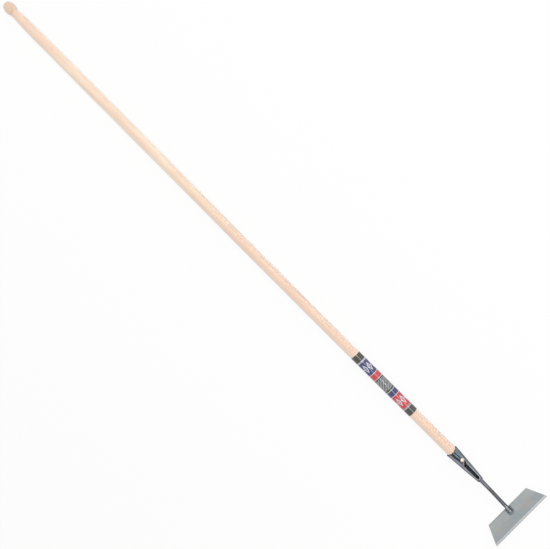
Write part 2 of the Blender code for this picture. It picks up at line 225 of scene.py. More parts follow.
@dataclass
class Skin:
    """A grid of points that becomes a closed mesh.

    Attributes:
        points: Positions as (rows, columns, 3). Each row is a closed ring.
        looped: True where the last row joins the first.
        capped: True where the first and last rows are each closed with a fan.
        uv: Surface coordinates in millimetres as (rows, columns + 1, 2), or None.
        masks: Named values in 0..1 for the material, for each point or each row.
        merged: True where points that meet are joined, as at a rounded rim.
        crease: Angle in degrees above which an edge is shaded sharp.
    """

    points: Array
    looped: bool = False
    capped: bool = True
    uv: Array | None = None
    masks: dict[str, Array] = field(default_factory=dict)
    merged: bool = False
    crease: float = 50.0

    def faces(self) -> list[list[int]]:
        """Quads between neighbouring rows, then the triangles of the caps.

        Returns:
            Point numbers of each face.
        """
        rows, columns = self.points.shape[:2]
        left = np.arange(rows * columns).reshape(rows, columns)
        right = np.roll(left, -1, axis=1)
        quads = np.stack([left, right, np.roll(right, -1, axis=0), np.roll(left, -1, axis=0)], axis=-1)
        faces = quads[: None if self.looped else -1].reshape(-1, 4).tolist()
        if self.capped:
            hub = np.full(columns, rows * columns)
            faces += np.stack([right[0], left[0], hub], axis=-1).tolist()
            faces += np.stack([left[-1], right[-1], hub + 1], axis=-1).tolist()
        return faces

    def mesh(self, name: str) -> bpy.types.Mesh:
        """Makes the mesh, turns its faces outwards and shades it smooth.

        Args:
            name: The mesh's name.

        Returns:
            The mesh, with its surface coordinates and masks.
        """
        points = self.points.reshape(-1, 3)
        if self.capped:
            points = np.vstack([points, self.points[0].mean(axis=0), self.points[-1].mean(axis=0)])
        mesh = bpy.data.meshes.new(name)
        mesh.from_pydata(points, [], self.faces())
        for mask, values in self.masks.items():
            values = np.broadcast_to(values, self.points.shape[:2])
            hubs = values[[0, -1]].mean(axis=1) if self.capped else []
            layer = mesh.attributes.new(mask, "FLOAT", "POINT")
            layer.data.foreach_set("value", np.concatenate([values.ravel(), hubs]).astype(np.float32))
        if self.uv is not None:
            near = [self.uv[:, :-1], self.uv[:, 1:]]
            far = [np.roll(corner, -1, axis=0) for corner in near]
            corners = np.stack([near[0], near[1], far[1], far[0]], axis=2)
            layer = mesh.uv_layers.new(name="surface_mm")
            layer.data.foreach_set("uv", corners[: None if self.looped else -1].astype(np.float32).ravel())
        shape = bmesh.new()
        shape.from_mesh(mesh)
        if self.merged:
            bmesh.ops.remove_doubles(shape, verts=shape.verts, dist=1e-6)
        bmesh.ops.recalc_face_normals(shape, faces=shape.faces)
        if shape.calc_volume(signed=True) < 0:
            bmesh.ops.reverse_faces(shape, faces=shape.faces)
        shape.to_mesh(mesh)
        shape.free()
        mesh.shade_smooth()
        mesh.set_sharp_from_angle(angle=math.radians(self.crease))
        return mesh


class Piece:
    """A piece of the hoe: its name, the node of the frame that it stands for, and that node's slot."""

    name: str
    node: str
    slot: Slot

    def skin(self) -> Skin:
        """The piece's closed skin, which each kind of piece works out."""
        raise NotImplementedError

    def build(self, material: bpy.types.Material) -> None:
        """Puts the piece into the scene in place of its node.

        Args:
            material: Its finish.
        """
        mesh = self.skin().mesh(self.name)
        mesh.materials.append(material)
        piece = bpy.data.objects.new(self.name, mesh)
        bpy.context.scene.collection.objects.link(piece)
        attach(piece, "root")
        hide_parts(self.node)
        LOG.info("%s stands for %s with %d faces", self.name, self.node, len(mesh.polygons))


def linear(colour: str) -> tuple[float, float, float, float]:
    """Turns an sRGB colour such as #A0B0C0 into the linear values that shaders use, with an alpha of 1."""
    shares = [int(colour[i : i + 2], 16) / 255 for i in (1, 3, 5)]
    return *[s / 12.92 if s <= 0.04045 else ((s + 0.055) / 1.055) ** 2.4 for s in shares], 1.0


def add_node(
    tree: bpy.types.NodeTree, kind: str, inputs: dict[Any, Any], output: Any = 0, **settings: Any
) -> Socket | None:
    """Adds one node with its settings and links.

    Args:
        tree: The tree that gets it.
        kind: Its type, without the prefix ShaderNode.
        inputs: For each input, by name or number, a value to set or an output to link.
        output: The output to hand back, by name or number.
        settings: Values of its own properties. ramp lists a colour ramp's stops as (place, hex or grey).

    Returns:
        The chosen output, or None where the node has none.
    """
    node = tree.nodes.new("ShaderNode" + kind)
    stops = settings.pop("ramp", ())
    if stops:
        node.color_ramp.interpolation = settings.pop("interpolation", "LINEAR")
        while len(node.color_ramp.elements) < len(stops):
            node.color_ramp.elements.new(1.0)
        for element, (position, tone) in zip(node.color_ramp.elements, stops):
            element.position = position
            element.color = linear(tone) if isinstance(tone, str) else (tone, tone, tone, 1.0)
    for name, value in settings.items():
        setattr(node, name, value)
    for key, value in inputs.items():
        if isinstance(value, Socket):
            tree.links.new(value, node.inputs[key])
        else:
            node.inputs[key].default_value = value
    return node.outputs[output] if node.outputs else None


class Recipe:
    """A material while its nodes are being added.

    Attributes:
        material: The material.
        shader: Its principled shader.
        place: Output that gives the place on the object, in metres.
    """

    def __init__(self, name: str, metallic: float) -> None:
        """Starts the material.

        Args:
            name: Its name.
            metallic: 1 for bare metal, 0 for everything else.
        """
        self.material = bpy.data.materials.new(name)
        self.material.use_nodes = True
        self.shader = self.material.node_tree.nodes["Principled BSDF"]
        self.shader.inputs["Metallic"].default_value = metallic
        self.place = self.add("TexCoord", {}, "Object")

    def add(self, kind: str, inputs: dict[Any, Any], output: Any = 0, **settings: Any) -> Socket:
        """Adds one node to this material, as add_node does."""
        return add_node(self.material.node_tree, kind, inputs, output, **settings)

    def mottle(self, stretch: tuple[float, float, float], size_mm: float, **settings: float) -> Socket:
        """Adds a soft uneven pattern of a real size.

        Args:
            stretch: Pattern millimetres to a metre of the object, along each axis.
            size_mm: Size of its patches.
            settings: Detail and Roughness of the pattern.

        Returns:
            Its height in 0..1.
        """
        place = self.add("Mapping", {"Vector": self.place, "Scale": stretch})
        return self.add("TexNoise", {"Vector": place, "Scale": 1 / size_mm, **settings})

    def layered(self, colour: Socket, *layers: tuple[Any, str]) -> Socket:
        """Lays colours over one another.

        Args:
            colour: The lowest.
            layers: The share of each, as an output or the name of a mask, and its colour.

        Returns:
            The colour on top.
        """
        for share, tint in layers:
            if isinstance(share, str):
                share = self.add("Attribute", {}, "Fac", attribute_name=share)
            mix = {0: share, MIX_A: colour, MIX_B: linear(tint)}
            colour = self.add("Mix", mix, MIX_RESULT, data_type="RGBA")
        return colour

    def dress(self, **inputs: Any) -> bpy.types.Material:
        """Links or sets the shader's inputs.

        Args:
            inputs: For each input, written with _ for a space, an output or a value.

        Returns:
            The finished material.
        """
        for name, value in inputs.items():
            socket = self.shader.inputs[name.replace("_", " ")]
            if isinstance(value, Socket):
                self.material.node_tree.links.new(value, socket)
            else:
                socket.default_value = value
        return self.material


@dataclass(frozen=True)
class SandedAsh:
    """Ash, turned, sanded and thinly oiled: cream wood, wide tan growth rings and short open pores."""

    ring_spacing_mm: float = 2.6
    pith_offset_mm: tuple[float, float] = (31.0, 9.0)
    pith_lean: tuple[float, float] = (0.22, -0.12)
    wave_period: float = 0.314
    fibre_width_mm: float = 0.9
    patch_width_mm: float = 13.0
    pore_width_mm: float = 0.35
    late_wood: str = "#FADCC4"
    early_wood: str = "#EBC4A6"
    warm_patch: str = "#F5CFB4"
    cream: str = "#FFEBCF"
    pore: str = "#CDA183"
    end_grain: str = "#D9B295"
    # tone of the wood inside the socket: lacquer stain together with painted shade
    socket_stain_and_shade: str = "#8E7A6C"
    fuzz_tint: str = "#DCE8F6"

    def build(self) -> bpy.types.Material:
        """Rings about a leaning pith, fibres and pores drawn out along the grain, darker end grain.

        Returns:
            The material.
        """
        wood = Recipe("ash_turned_sanded_oiled", 0.0)
        pith = {"Rotation": (0.0, *self.pith_lean), "Location": (0.0, *self.pith_offset_mm)}
        grain = wood.add("Mapping", {"Vector": wood.place, "Scale": (20.0, PER_MM, PER_MM), **pith})
        wander = {"Distortion": 3.0, "Detail": 2.0, "Detail Scale": 0.35, "Detail Roughness": 0.6}
        waves = {"Vector": grain, "Scale": self.wave_period / self.ring_spacing_mm, **wander}
        shape = {"wave_type": "RINGS", "rings_direction": "X", "wave_profile": "SAW"}
        rings = wood.add("TexWave", waves, "Fac", **shape)
        late, early = self.late_wood, self.early_wood
        ring_tones = ((0.0, early), (0.22, late), (0.8, late), (1.0, early))
        tones = wood.add("ValToRGB", {"Fac": rings}, ramp=ring_tones)
        fibres = wood.mottle((14.0, PER_MM, PER_MM), self.fibre_width_mm, Detail=3.0)
        patches = wood.mottle((90.0, PER_MM, PER_MM), self.patch_width_mm, Detail=2.0)
        pores = wood.mottle((110.0, PER_MM, PER_MM), self.pore_width_mm)
        patch_share = wood.add("MapRange", {"Value": patches, 1: 0.42, 2: 0.68, 3: 0.0, 4: 0.75})
        streak = wood.add("MapRange", {"Value": fibres, 1: 0.3, 2: 0.7, 3: 1.04, 4: 0.93})
        pore_share = wood.add("MapRange", {"Value": pores, 1: 0.62, 2: 0.74, 3: 0.0, 4: 0.6})
        in_early = wood.add("MapRange", {"Value": rings, 1: 0.45, 2: 0.1, 3: 0.25, 4: 1.0})
        pored = wood.add("Math", {0: pore_share, 1: in_early}, operation="MULTIPLY")
        plain = wood.layered(tones, ("cream", self.cream), (patch_share, self.warm_patch))
        streaks = {0: 1.0, MIX_A: plain, MIX_B: streak}
        streaked = wood.add("Mix", streaks, MIX_RESULT, data_type="RGBA", blend_type="MULTIPLY")
        # pores, darker end grain, and the wood inside the socket, darkened partly by lacquer stain and partly
        # as painted shade where it shows through the seam and slot
        marks = ((pored, self.pore), ("end_grain", self.end_grain), ("stain_and_shade", self.socket_stain_and_shade))
        relief = wood.add("Math", {0: fibres, 1: pored}, operation="SUBTRACT")
        return wood.dress(
            Base_Color=wood.layered(streaked, *marks),
            Roughness=wood.add("MapRange", {"Value": fibres, 3: 0.38, 4: 0.52}),
            Normal=wood.add("Bump", {"Height": relief, "Strength": 0.35, "Distance": 0.0001}),
            Sheen_Weight=1.0,
            Sheen_Roughness=0.6,
            Sheen_Tint=linear(self.fuzz_tint),
        )


@dataclass(frozen=True)
class ShrunkFilm:
    """PVC film, printed inside and shrunk on with heat: deep flat colours under an even gloss."""

    length_mm: float
    wrap_mm: float
    dark: str = "#2E271E"
    pale: str = "#CFD0D9"
    blue: str = "#1F2664"
    red: str = "#C42A36"
    lozenges_round: int = 7
    lozenge_slimness: float = 2.2
    lozenge_half_length_mm: float = 15.0
    lozenge_middles_mm: tuple[float, float] = (45.0, 167.0)
    hatch_middle_mm: float = 106.0
    hatch_half_length_mm: float = 18.0
    hatch_spacing_mm: float = 6.0
    hatch_line_share: float = 0.3

    def bands(self) -> tuple[tuple[float, str], ...]:
        """Lists the bands of colour.

        Returns:
            Where each starts, as a share of the film's length from its upper end, and its colour.
        """
        dark, pale, blue, red = self.dark, self.pale, self.blue, self.red
        starts_mm = (0.0, 20.0, 21.6, 23.2, 24.6, 65.4, 67.0, 82.4, 84.0)
        starts_mm += (128.0, 129.6, 145.0, 146.6, 187.4, 188.8, 190.4, 192.0)
        tones = (dark, pale, dark, pale, blue, pale, red, pale, dark)
        tones += (pale, blue, pale, red, pale, dark, pale, dark)
        return tuple((start / self.length_mm, tone) for start, tone in zip(starts_mm, tones))

    def build(self) -> bpy.types.Material:
        """Plain bands round the handle, a row of lozenges in each wide one, slanting lines in the middle.

        A lozenge is where the distances ahead and aside, each as a share of its half size, add up to less
        than 0.95. Its outline and its core are pale.

        Returns:
            The material.
        """
        film = Recipe("pvc_film_printed_shrunk", 0.0)
        along = film.add("SeparateXYZ", {0: film.add("UVMap", {}, uv_map="surface_mm")})
        round_handle = along.node.outputs[1]
        share = film.add("Math", {0: along, 1: self.length_mm}, operation="DIVIDE")
        bands = film.add("ValToRGB", {0: share}, ramp=self.bands(), interpolation="CONSTANT")
        size, slimness = ("ABSOLUTE", 0.0), ("MULTIPLY", self.lozenge_slimness)
        cell, half = ("DIVIDE", self.wrap_mm / self.lozenges_round), ("DIVIDE", self.lozenge_half_length_mm)
        slant = film.add("Math", {0: round_handle, 1: along}, operation="ADD")
        to_cell = (cell, ("FRACT", 0.0), ("SUBTRACT", 0.5), slimness, size)
        to_line = (("DIVIDE", self.hatch_spacing_mm), ("FRACT", 0.0), ("LESS_THAN", self.hatch_line_share))
        to_hatch = (("SUBTRACT", self.hatch_middle_mm), size, ("LESS_THAN", self.hatch_half_length_mm))
        ahead = [(along, (("SUBTRACT", middle), half, size)) for middle in self.lozenge_middles_mm]
        worked = []
        for value, steps in ((round_handle, to_cell), (slant, to_line), (along, to_hatch), *ahead):
            for operation, other in steps:
                value = film.add("Math", {0: value, 1: other}, operation=operation)
            worked.append(value)
        aside, line, in_hatch, *reaches = worked
        outlines = ((0.0, 1.0), (0.22, 0.0), (0.5, 1.0), (0.95, 0.0))
        marks = []
        for reach in reaches:
            total = film.add("Math", {0: aside, 1: reach}, operation="ADD")
            marks.append(film.add("ValToRGB", {0: total}, ramp=outlines, interpolation="CONSTANT"))
        marks.append(film.add("Math", {0: line, 1: in_hatch}, operation="MULTIPLY"))
        crinkle = film.mottle((60.0, 400.0, 400.0), 1.0, Detail=2.0)
        return film.dress(
            Base_Color=film.layered(bands, *((mark, self.pale) for mark in marks)),
            Roughness=film.add("MapRange", {"Value": crinkle, 3: 0.17, 4: 0.29}),
            Normal=film.add("Bump", {"Height": crinkle, "Strength": 0.3, "Distance": 0.0002}),
            Coat_Weight=1.0,
            Coat_Roughness=0.14,
        )


@dataclass(frozen=True)
class LacqueredSteel:
    """Mild steel, rolled and forged, dipped in thin dark lacquer: blue-grey, cloudy, rubbed at its edges."""

    name: str = "steel_plate_dark_lacquered"
    cloud_size_mm: float = 9.0
    grit_size_mm: float = 0.7
    dark: str = "#616B74"
    light: str = "#838F91"
    # paler violet tone down the -Y side and towards the tail
    paler_tone: str = "#84858F"
    # tone for rubbed edges, also used for painted highlights
    rubbed_and_highlight: str = "#A3A8AA"
    # painted shade for creases, seams and hollows
    painted_shade: str = "#3A3F46"
    unlit: str = "#7C7F8A"
    grazing_tint: str = "#8A8A8A"

    def build(self) -> bpy.types.Material:
        """Clouds of lacquer over fine grit, paler and violet down one side and towards the tail, with rubbed
        edges and painted highlights, and painted shade in creases, along seams and in hollows.

        Returns:
            The material.
        """
        steel = Recipe(self.name, 0.85)
        drawn_out = (0.35 * PER_MM, PER_MM, PER_MM)
        clouds = steel.mottle(drawn_out, self.cloud_size_mm, Detail=4.0, Roughness=0.6)
        grit = steel.mottle(drawn_out, self.grit_size_mm)
        tone = steel.add("ValToRGB", {"Fac": clouds}, ramp=((0.3, self.dark), (0.7, self.light)))
        wear_and_highlight, inside = [steel.add("Attribute", {}, "Fac", attribute_name=name) for name in ("wear_and_highlight", "inside")]
        patchy = steel.add("MapRange", {"Value": clouds, 1: 0.3, 2: 0.6, 3: 0.55, 4: 1.0})
        # rubbed edges together with painted highlights, broken up by the clouds
        bare_and_lit = steel.add("Math", {0: wear_and_highlight, 1: patchy}, operation="MULTIPLY")
        # layers: a paler violet tone down one side and towards the tail, rubbed edges with painted
        # highlights, painted shade in creases, seams and hollows, then the inside
        coats = (("paler_band", self.paler_tone), (bare_and_lit, self.rubbed_and_highlight), ("painted_shade", self.painted_shade), (inside, self.unlit))
        gloss = steel.add("MapRange", {"Value": grit, 3: 0.28, 4: 0.46})
        return steel.dress(
            Base_Color=steel.layered(tone, *coats),
            Roughness=steel.add("Math", {0: gloss, 1: inside}, operation="MAXIMUM"),
            Normal=steel.add("Bump", {"Height": grit, "Strength": 0.25, "Distance": 0.0001}),
            Specular_Tint=linear(self.grazing_tint),
        )


@dataclass(frozen=True)
class HardenedPlate:
    """Hardened steel plate, tempered and brushed: grey-green, straw brown within, bright at the bevel."""

    patch_size_mm: float = 17.0
    scratch_width_mm: float = 0.5
    cool: str = "#ADB2B1"
    deep: str = "#A4ACAF"
    straw: str = "#B0A9A1"
    blued: str = "#949FA5"
    heat_tint: str = "#B0B9BE"
    # tone of the ground bevel, also used for a painted highlight beside the back edge
    ground_and_highlight: str = "#AEB0B1"
    # tone of dark sheared edges, also used for painted shade along the back edge
    sheared_and_shaded: str = "#727A7F"

    def build(self) -> bpy.types.Material:
        """Temper patches, brushing along the blade, a tint round the weld, bright ground steel and dark
        sheared edges, with a painted highlight and painted shade along the back edge.

        Returns:
            The material.
        """
        plate = Recipe("hardened_steel_plate_brushed", 0.9)
        patch_stretch = (PER_MM, 0.7 * PER_MM, PER_MM)
        patches = plate.mottle(patch_stretch, self.patch_size_mm, Detail=3.0, Roughness=0.55)
        tone = plate.add("ValToRGB", {"Fac": patches}, ramp=((0.35, self.deep), (0.6, self.cool)))
        temper = plate.add("Attribute", {}, "Fac", attribute_name="temper")
        broken = plate.add("MapRange", {"Value": patches, 1: 0.42, 2: 0.62, 3: 0.15, 4: 1.0})
        straw_share = plate.add("Math", {0: temper, 1: broken}, operation="MULTIPLY")
        tempered = (("blued", self.blued), (straw_share, self.straw), ("heat", self.heat_tint))
        # the bevel's ground steel with a painted highlight by the back edge, then dark sheared edges with
        # painted shade along the back edge
        edges = (("ground_and_highlight", self.ground_and_highlight), ("sheared_and_shaded", self.sheared_and_shaded))
        brushing = plate.mottle((PER_MM, 30.0, PER_MM), self.scratch_width_mm, Detail=3.0)
        return plate.dress(
            Base_Color=plate.layered(tone, *tempered, *edges),
            Roughness=plate.add("MapRange", {"Value": brushing, 3: 0.34, 4: 0.52}),
            Normal=plate.add("Bump", {"Height": brushing, "Strength": 0.2, "Distance": 0.0001}),
        )


@dataclass(frozen=True)
class WeldMetal:
    """Steel weld metal as it cooled: dark oxide, a little blue and straw in the ripples."""

    dark: str = "#77828A"
    light: str = "#9AA4AA"
    grazing_tint: str = "#808080"
    patch_size_mm: float = 3.0

    def build(self) -> bpy.types.Material:
        """Small patches of oxide with a fine rough skin.

        Returns:
            The material.
        """
        weld = Recipe("steel_weld_oxidised", 0.85)
        patches = weld.mottle((PER_MM, PER_MM, PER_MM), self.patch_size_mm, Detail=4.0)
        return weld.dress(
            Base_Color=weld.add("ValToRGB", {"Fac": patches}, ramp=((0.35, self.dark), (0.7, self.light))),
            Roughness=weld.add("MapRange", {"Value": patches, 3: 0.36, 4: 0.6}),
            Normal=weld.add("Bump", {"Height": patches, "Strength": 0.3, "Distance": 0.0001}),
            Specular_Tint=linear(self.grazing_tint),
        )


@dataclass(frozen=True)
class BrightNail:
    """Wire nail, cold headed and tumbled bright: a silvery dome with small hammer scuffs."""

    bright: str = "#E2D2CA"
    scuffed: str = "#BFAFA6"
    scuff_size_mm: float = 1.4

    def build(self) -> bpy.types.Material:
        """Scuffs that are duller and rougher than the bright steel.

        Returns:
            The material.
        """
        nail = Recipe("nail_steel_tumbled", 0.85)
        scuffs = nail.mottle((PER_MM, PER_MM, PER_MM), self.scuff_size_mm, Detail=4.0)
        return nail.dress(
            Base_Color=nail.add("ValToRGB", {"Fac": scuffs}, ramp=((0.5, self.bright), (0.72, self.scuffed))),
            Roughness=nail.add("MapRange", {"Value": scuffs, 1: 0.3, 2: 0.7, 3: 0.25, 4: 0.45}),
        )


@dataclass
class RolledSocket(Piece):
    """A plate rolled into a cone, wider across than high at its mouth, with a seam along its top.

    The lips of the seam lap as far as the nail and part behind it into a long slot. A depth is a distance
    behind the mouth, and an angle is measured from the top towards +Y.
    """

    name, node, slot = "rolled_socket_plate", "socket", Slot.LACQUERED
    mouth: float = 1.6435
    length: float = 0.1040
    wall: float = 0.0016
    mouth_radius: float = 0.0163
    tail_radius: float = 0.0082
    belly: float = 0.0004
    belly_rise: tuple[float, float] = (0.2, 0.5)
    belly_fall: tuple[float, float] = (0.82, 0.98)
    spread: float = 0.052
    roll_at_mouth: float = math.radians(12)
    roll_at_tail: float = math.radians(-6)
    roll_end: float = 0.050
    seam_skew: float = math.radians(6)
    half_gap: float = 0.00010
    slot_start: float = 0.0370
    slot_end: float = 0.1000
    slot_half_width: float = 0.0055
    slot_tail_half_width: float = 0.0044
    slot_end_radius: float = 0.006
    nail_depth: float = 0.0330
    nail_hole_radius: float = 0.0026
    lap_step: float = 0.0009
    lap_from: float = math.radians(-40)
    lap_to: float = math.radians(-8)
    lap_fade: float = 0.030
    lip_corner: float = 0.0015
    rim_radius: float = 0.0007
    mouth_scoop: float = 0.0050
    mouth_slant: float = 0.0007
    scoop_end: float = 0.03
    valley_depth: float = 0.00045
    valley_half_angle: float = math.radians(23)
    valley_at_mouth: float = math.radians(-22)
    valley_at_nail: float = math.radians(-11)
    valley_turn: float = 0.012
    valley_run: tuple[float, float] = (0.006, 0.014)
    dent: float = 0.00014
    dent_waves: tuple[float, float] = (170, 260)
    wear_run: float = 0.012
    lip_wear: tuple[float, float] = (0.0003, 0.0022)
    rim_shade: tuple[float, float] = (0.0004, 0.0016)
    seam_shade: tuple[float, float] = (0.0002, 0.0008)
    tail_paling: tuple[float, float] = (0.030, 0.070)
    arc_points: int = 150
    lip_points: int = 7

    def outer(self, depth: Array) -> Array:
        """The outer radius: a straight taper from mouth to tail, with a slight belly along the slot."""
        belly = self.belly * plateau(self.belly_rise, self.belly_fall, depth / self.length)
        return between(self.mouth_radius, self.tail_radius, depth / self.length) + belly

    def bore(self, depth: Array) -> Array:
        """The cone's inner radius."""
        return self.outer(depth) - self.wall

    def half_opening(self, depth: Array) -> Array:
        """Half the space between the lips: a seam, rounded corners at the mouth, the nail's hole, the slot.

        Args:
            depth: Distance behind the mouth.

        Returns:
            Half widths.
        """
        corner = self.lip_corner * (1 - rounding(depth, self.lip_corner))
        off_nail = np.clip(np.abs(depth - self.nail_depth) / self.nail_hole_radius, 0, 1)
        hole = self.nail_hole_radius * np.sqrt(1 - off_nail**2)
        share = part_way(self.slot_start, self.slot_end, depth)
        to_end = np.clip(np.minimum(depth - self.slot_start, self.slot_end - depth), 0, None)
        width = between(self.slot_half_width, self.slot_tail_half_width, share)
        slot = width * rounding(to_end, self.slot_end_radius)
        return np.maximum.reduce([self.half_gap + corner, hole, slot])

    def roll(self, depth: Array) -> Array:
        """The seam's angle. It runs askew as far as the nail and wanders back to the top along the slot.

        Args:
            depth: Distance behind the mouth.

        Returns:
            Angles.
        """
        share = smooth_step(self.slot_start, self.roll_end, depth)
        skew = self.seam_skew * (1 - smooth_step(0, self.nail_depth, depth))
        return between(self.roll_at_mouth, self.roll_at_tail, share) - skew

    def valley(self, depth: Array, angle: Array) -> Array:
        """The crease where the lower lip was hammered down beside the seam, from the mouth to the slot.

        Args:
            depth: Distance behind the mouth.
            angle: Place round the socket, below zero on the crease's side.

        Returns:
            1 along the crease, 0 away from it.
        """
        turned, faded = [self.slot_start + run for run in self.valley_run]
        share = smooth_step(self.valley_turn, turned, depth)
        middle = between(self.valley_at_mouth, self.valley_at_nail, share)
        fade = 1 - smooth_step(self.slot_start, faded, depth)
        return fade * hump(-1, 1, (angle - middle) / self.valley_half_angle)

    def depths(self) -> Array:
        """The rings are even, and closer at the rim, the nail's hole and the slot's ends.

        Returns:
            Depth of each ring.
        """
        ease = 1 - np.cos(np.linspace(0, QUARTER_TURN, 8))
        runs = [
            self.rim_radius * ease,
            np.linspace(0.0009, 0.0045, 12),
            np.linspace(0.005, self.length - self.rim_radius, 92),
            self.nail_depth + self.nail_hole_radius * np.sin(np.linspace(-1, 1, 15) * QUARTER_TURN),
            self.slot_start + self.slot_end_radius * ease,
            self.slot_end - self.slot_end_radius * ease,
            self.length - self.rim_radius * ease,
        ]
        return np.unique(np.round(np.concatenate(runs), 6))

    def skin(self) -> Skin:
        """The plate's section carried along the cone: outer arc, round lip, inner arc, round lip.

        Each point lies at the plate's middle radius plus or minus half its thickness, times the sine of its
        place on the lip. The thickness shrinks to nothing at the mouth and the tail, which rounds the rims.

        Returns:
            The closed skin, with masks for the rubbed lips and the lighter -Y flank, the painted shade, the
            paler tone and the inside.
        """
        depth = self.depths()[:, None]
        along, side, beyond = wall_loop(self.arc_points, self.lip_points)
        outer, inner = self.outer(depth), self.bore(depth)
        opening = np.arcsin(np.clip(self.half_opening(depth) / outer, 0, 0.9))
        lip = self.wall / 2 / outer
        first = self.roll(depth) + opening + lip
        last = self.roll(depth) + FULL_TURN - opening - lip
        rim = rounding(np.minimum(depth, self.length - depth), self.rim_radius)
        angle = between(first, last, along) + lip * beyond * rim
        lap = 1 - smooth_step(self.slot_start, self.slot_start + self.lap_fade, depth)
        set_down = self.lap_step * lap * smooth_step(self.lap_from, self.lap_to, angle - FULL_TURN)
        valley = self.valley(depth, angle - FULL_TURN)
        face = outer - set_down - self.valley_depth * valley
        waves = [depth * count for count in self.dent_waves]
        dents = self.dent * (np.sin(2 * angle + waves[0]) + np.sin(3 * angle - waves[1] + 1)) / 2
        radius = (face + inner) / 2 + (face - inner) / 2 * side * rim + dents
        scoop = self.mouth_scoop / 2 * np.cos(angle) ** 2 - self.mouth_slant * np.sin(angle)
        station = self.mouth + depth + scoop * (1 - smooth_step(0, self.scoop_end, depth))
        spread = 1 + self.spread * (1 - smooth_step(0, self.length, depth))
        points = np.stack([station, spread * radius * np.sin(angle), radius * np.cos(angle)], axis=-1)
        masks = self.wear(depth, angle, np.minimum(angle - first, last - angle) * outer, side, valley)
        return Skin(on_axis(points), capped=False, merged=True, masks=masks)

    def wear(self, depth: Array, angle: Array, to_lip: Array, side: Array, valley: Array) -> dict[str, Array]:
        """Lacquer is rubbed off the slot's lips; painted shade darkens the crease, the seam and the rim; the
        -Y side is paler.

        Args:
            depth: Distance behind the mouth.
            angle: Place round the socket.
            to_lip: Distance from the nearer lip.
            side: 1 on the outside, -1 on the inside.
            valley: 1 along the crease.

        Returns:
            The masks by name.
        """
        along_slot = smooth_step(self.slot_start, self.slot_start + self.wear_run, depth)
        outside = 1 - smooth_step(-0.2, 0.8, -side)
        # paler and violet down the -Y side, and lighter still on the flank before the slot
        at_side = smooth_step(-0.30, -0.62, np.sin(angle)) * outside
        at_flank = 0.5 * at_side * (1 - along_slot) * smooth_step(-0.95, -0.75, np.sin(angle))
        on_lips = (1 - smooth_step(*self.lip_wear, to_lip)) * along_slot * outside
        # painted shade at the mouth's rim and along the seam's edges, and in the crease below the seam
        rim_dark = 1 - smooth_step(*self.rim_shade, depth + 0 * angle)
        seam_dark = (1 - smooth_step(*self.seam_shade, to_lip)) * (1 - along_slot)
        return {
            "wear_and_highlight": np.maximum(on_lips, at_flank),
            "painted_shade": np.maximum.reduce([smooth_step(0.1, 0.75, valley), rim_dark, seam_dark]),
            "inside": 1 - outside,
            "paler_band": np.maximum(at_side, 0.6 * smooth_step(*self.tail_paling, depth)),
        }


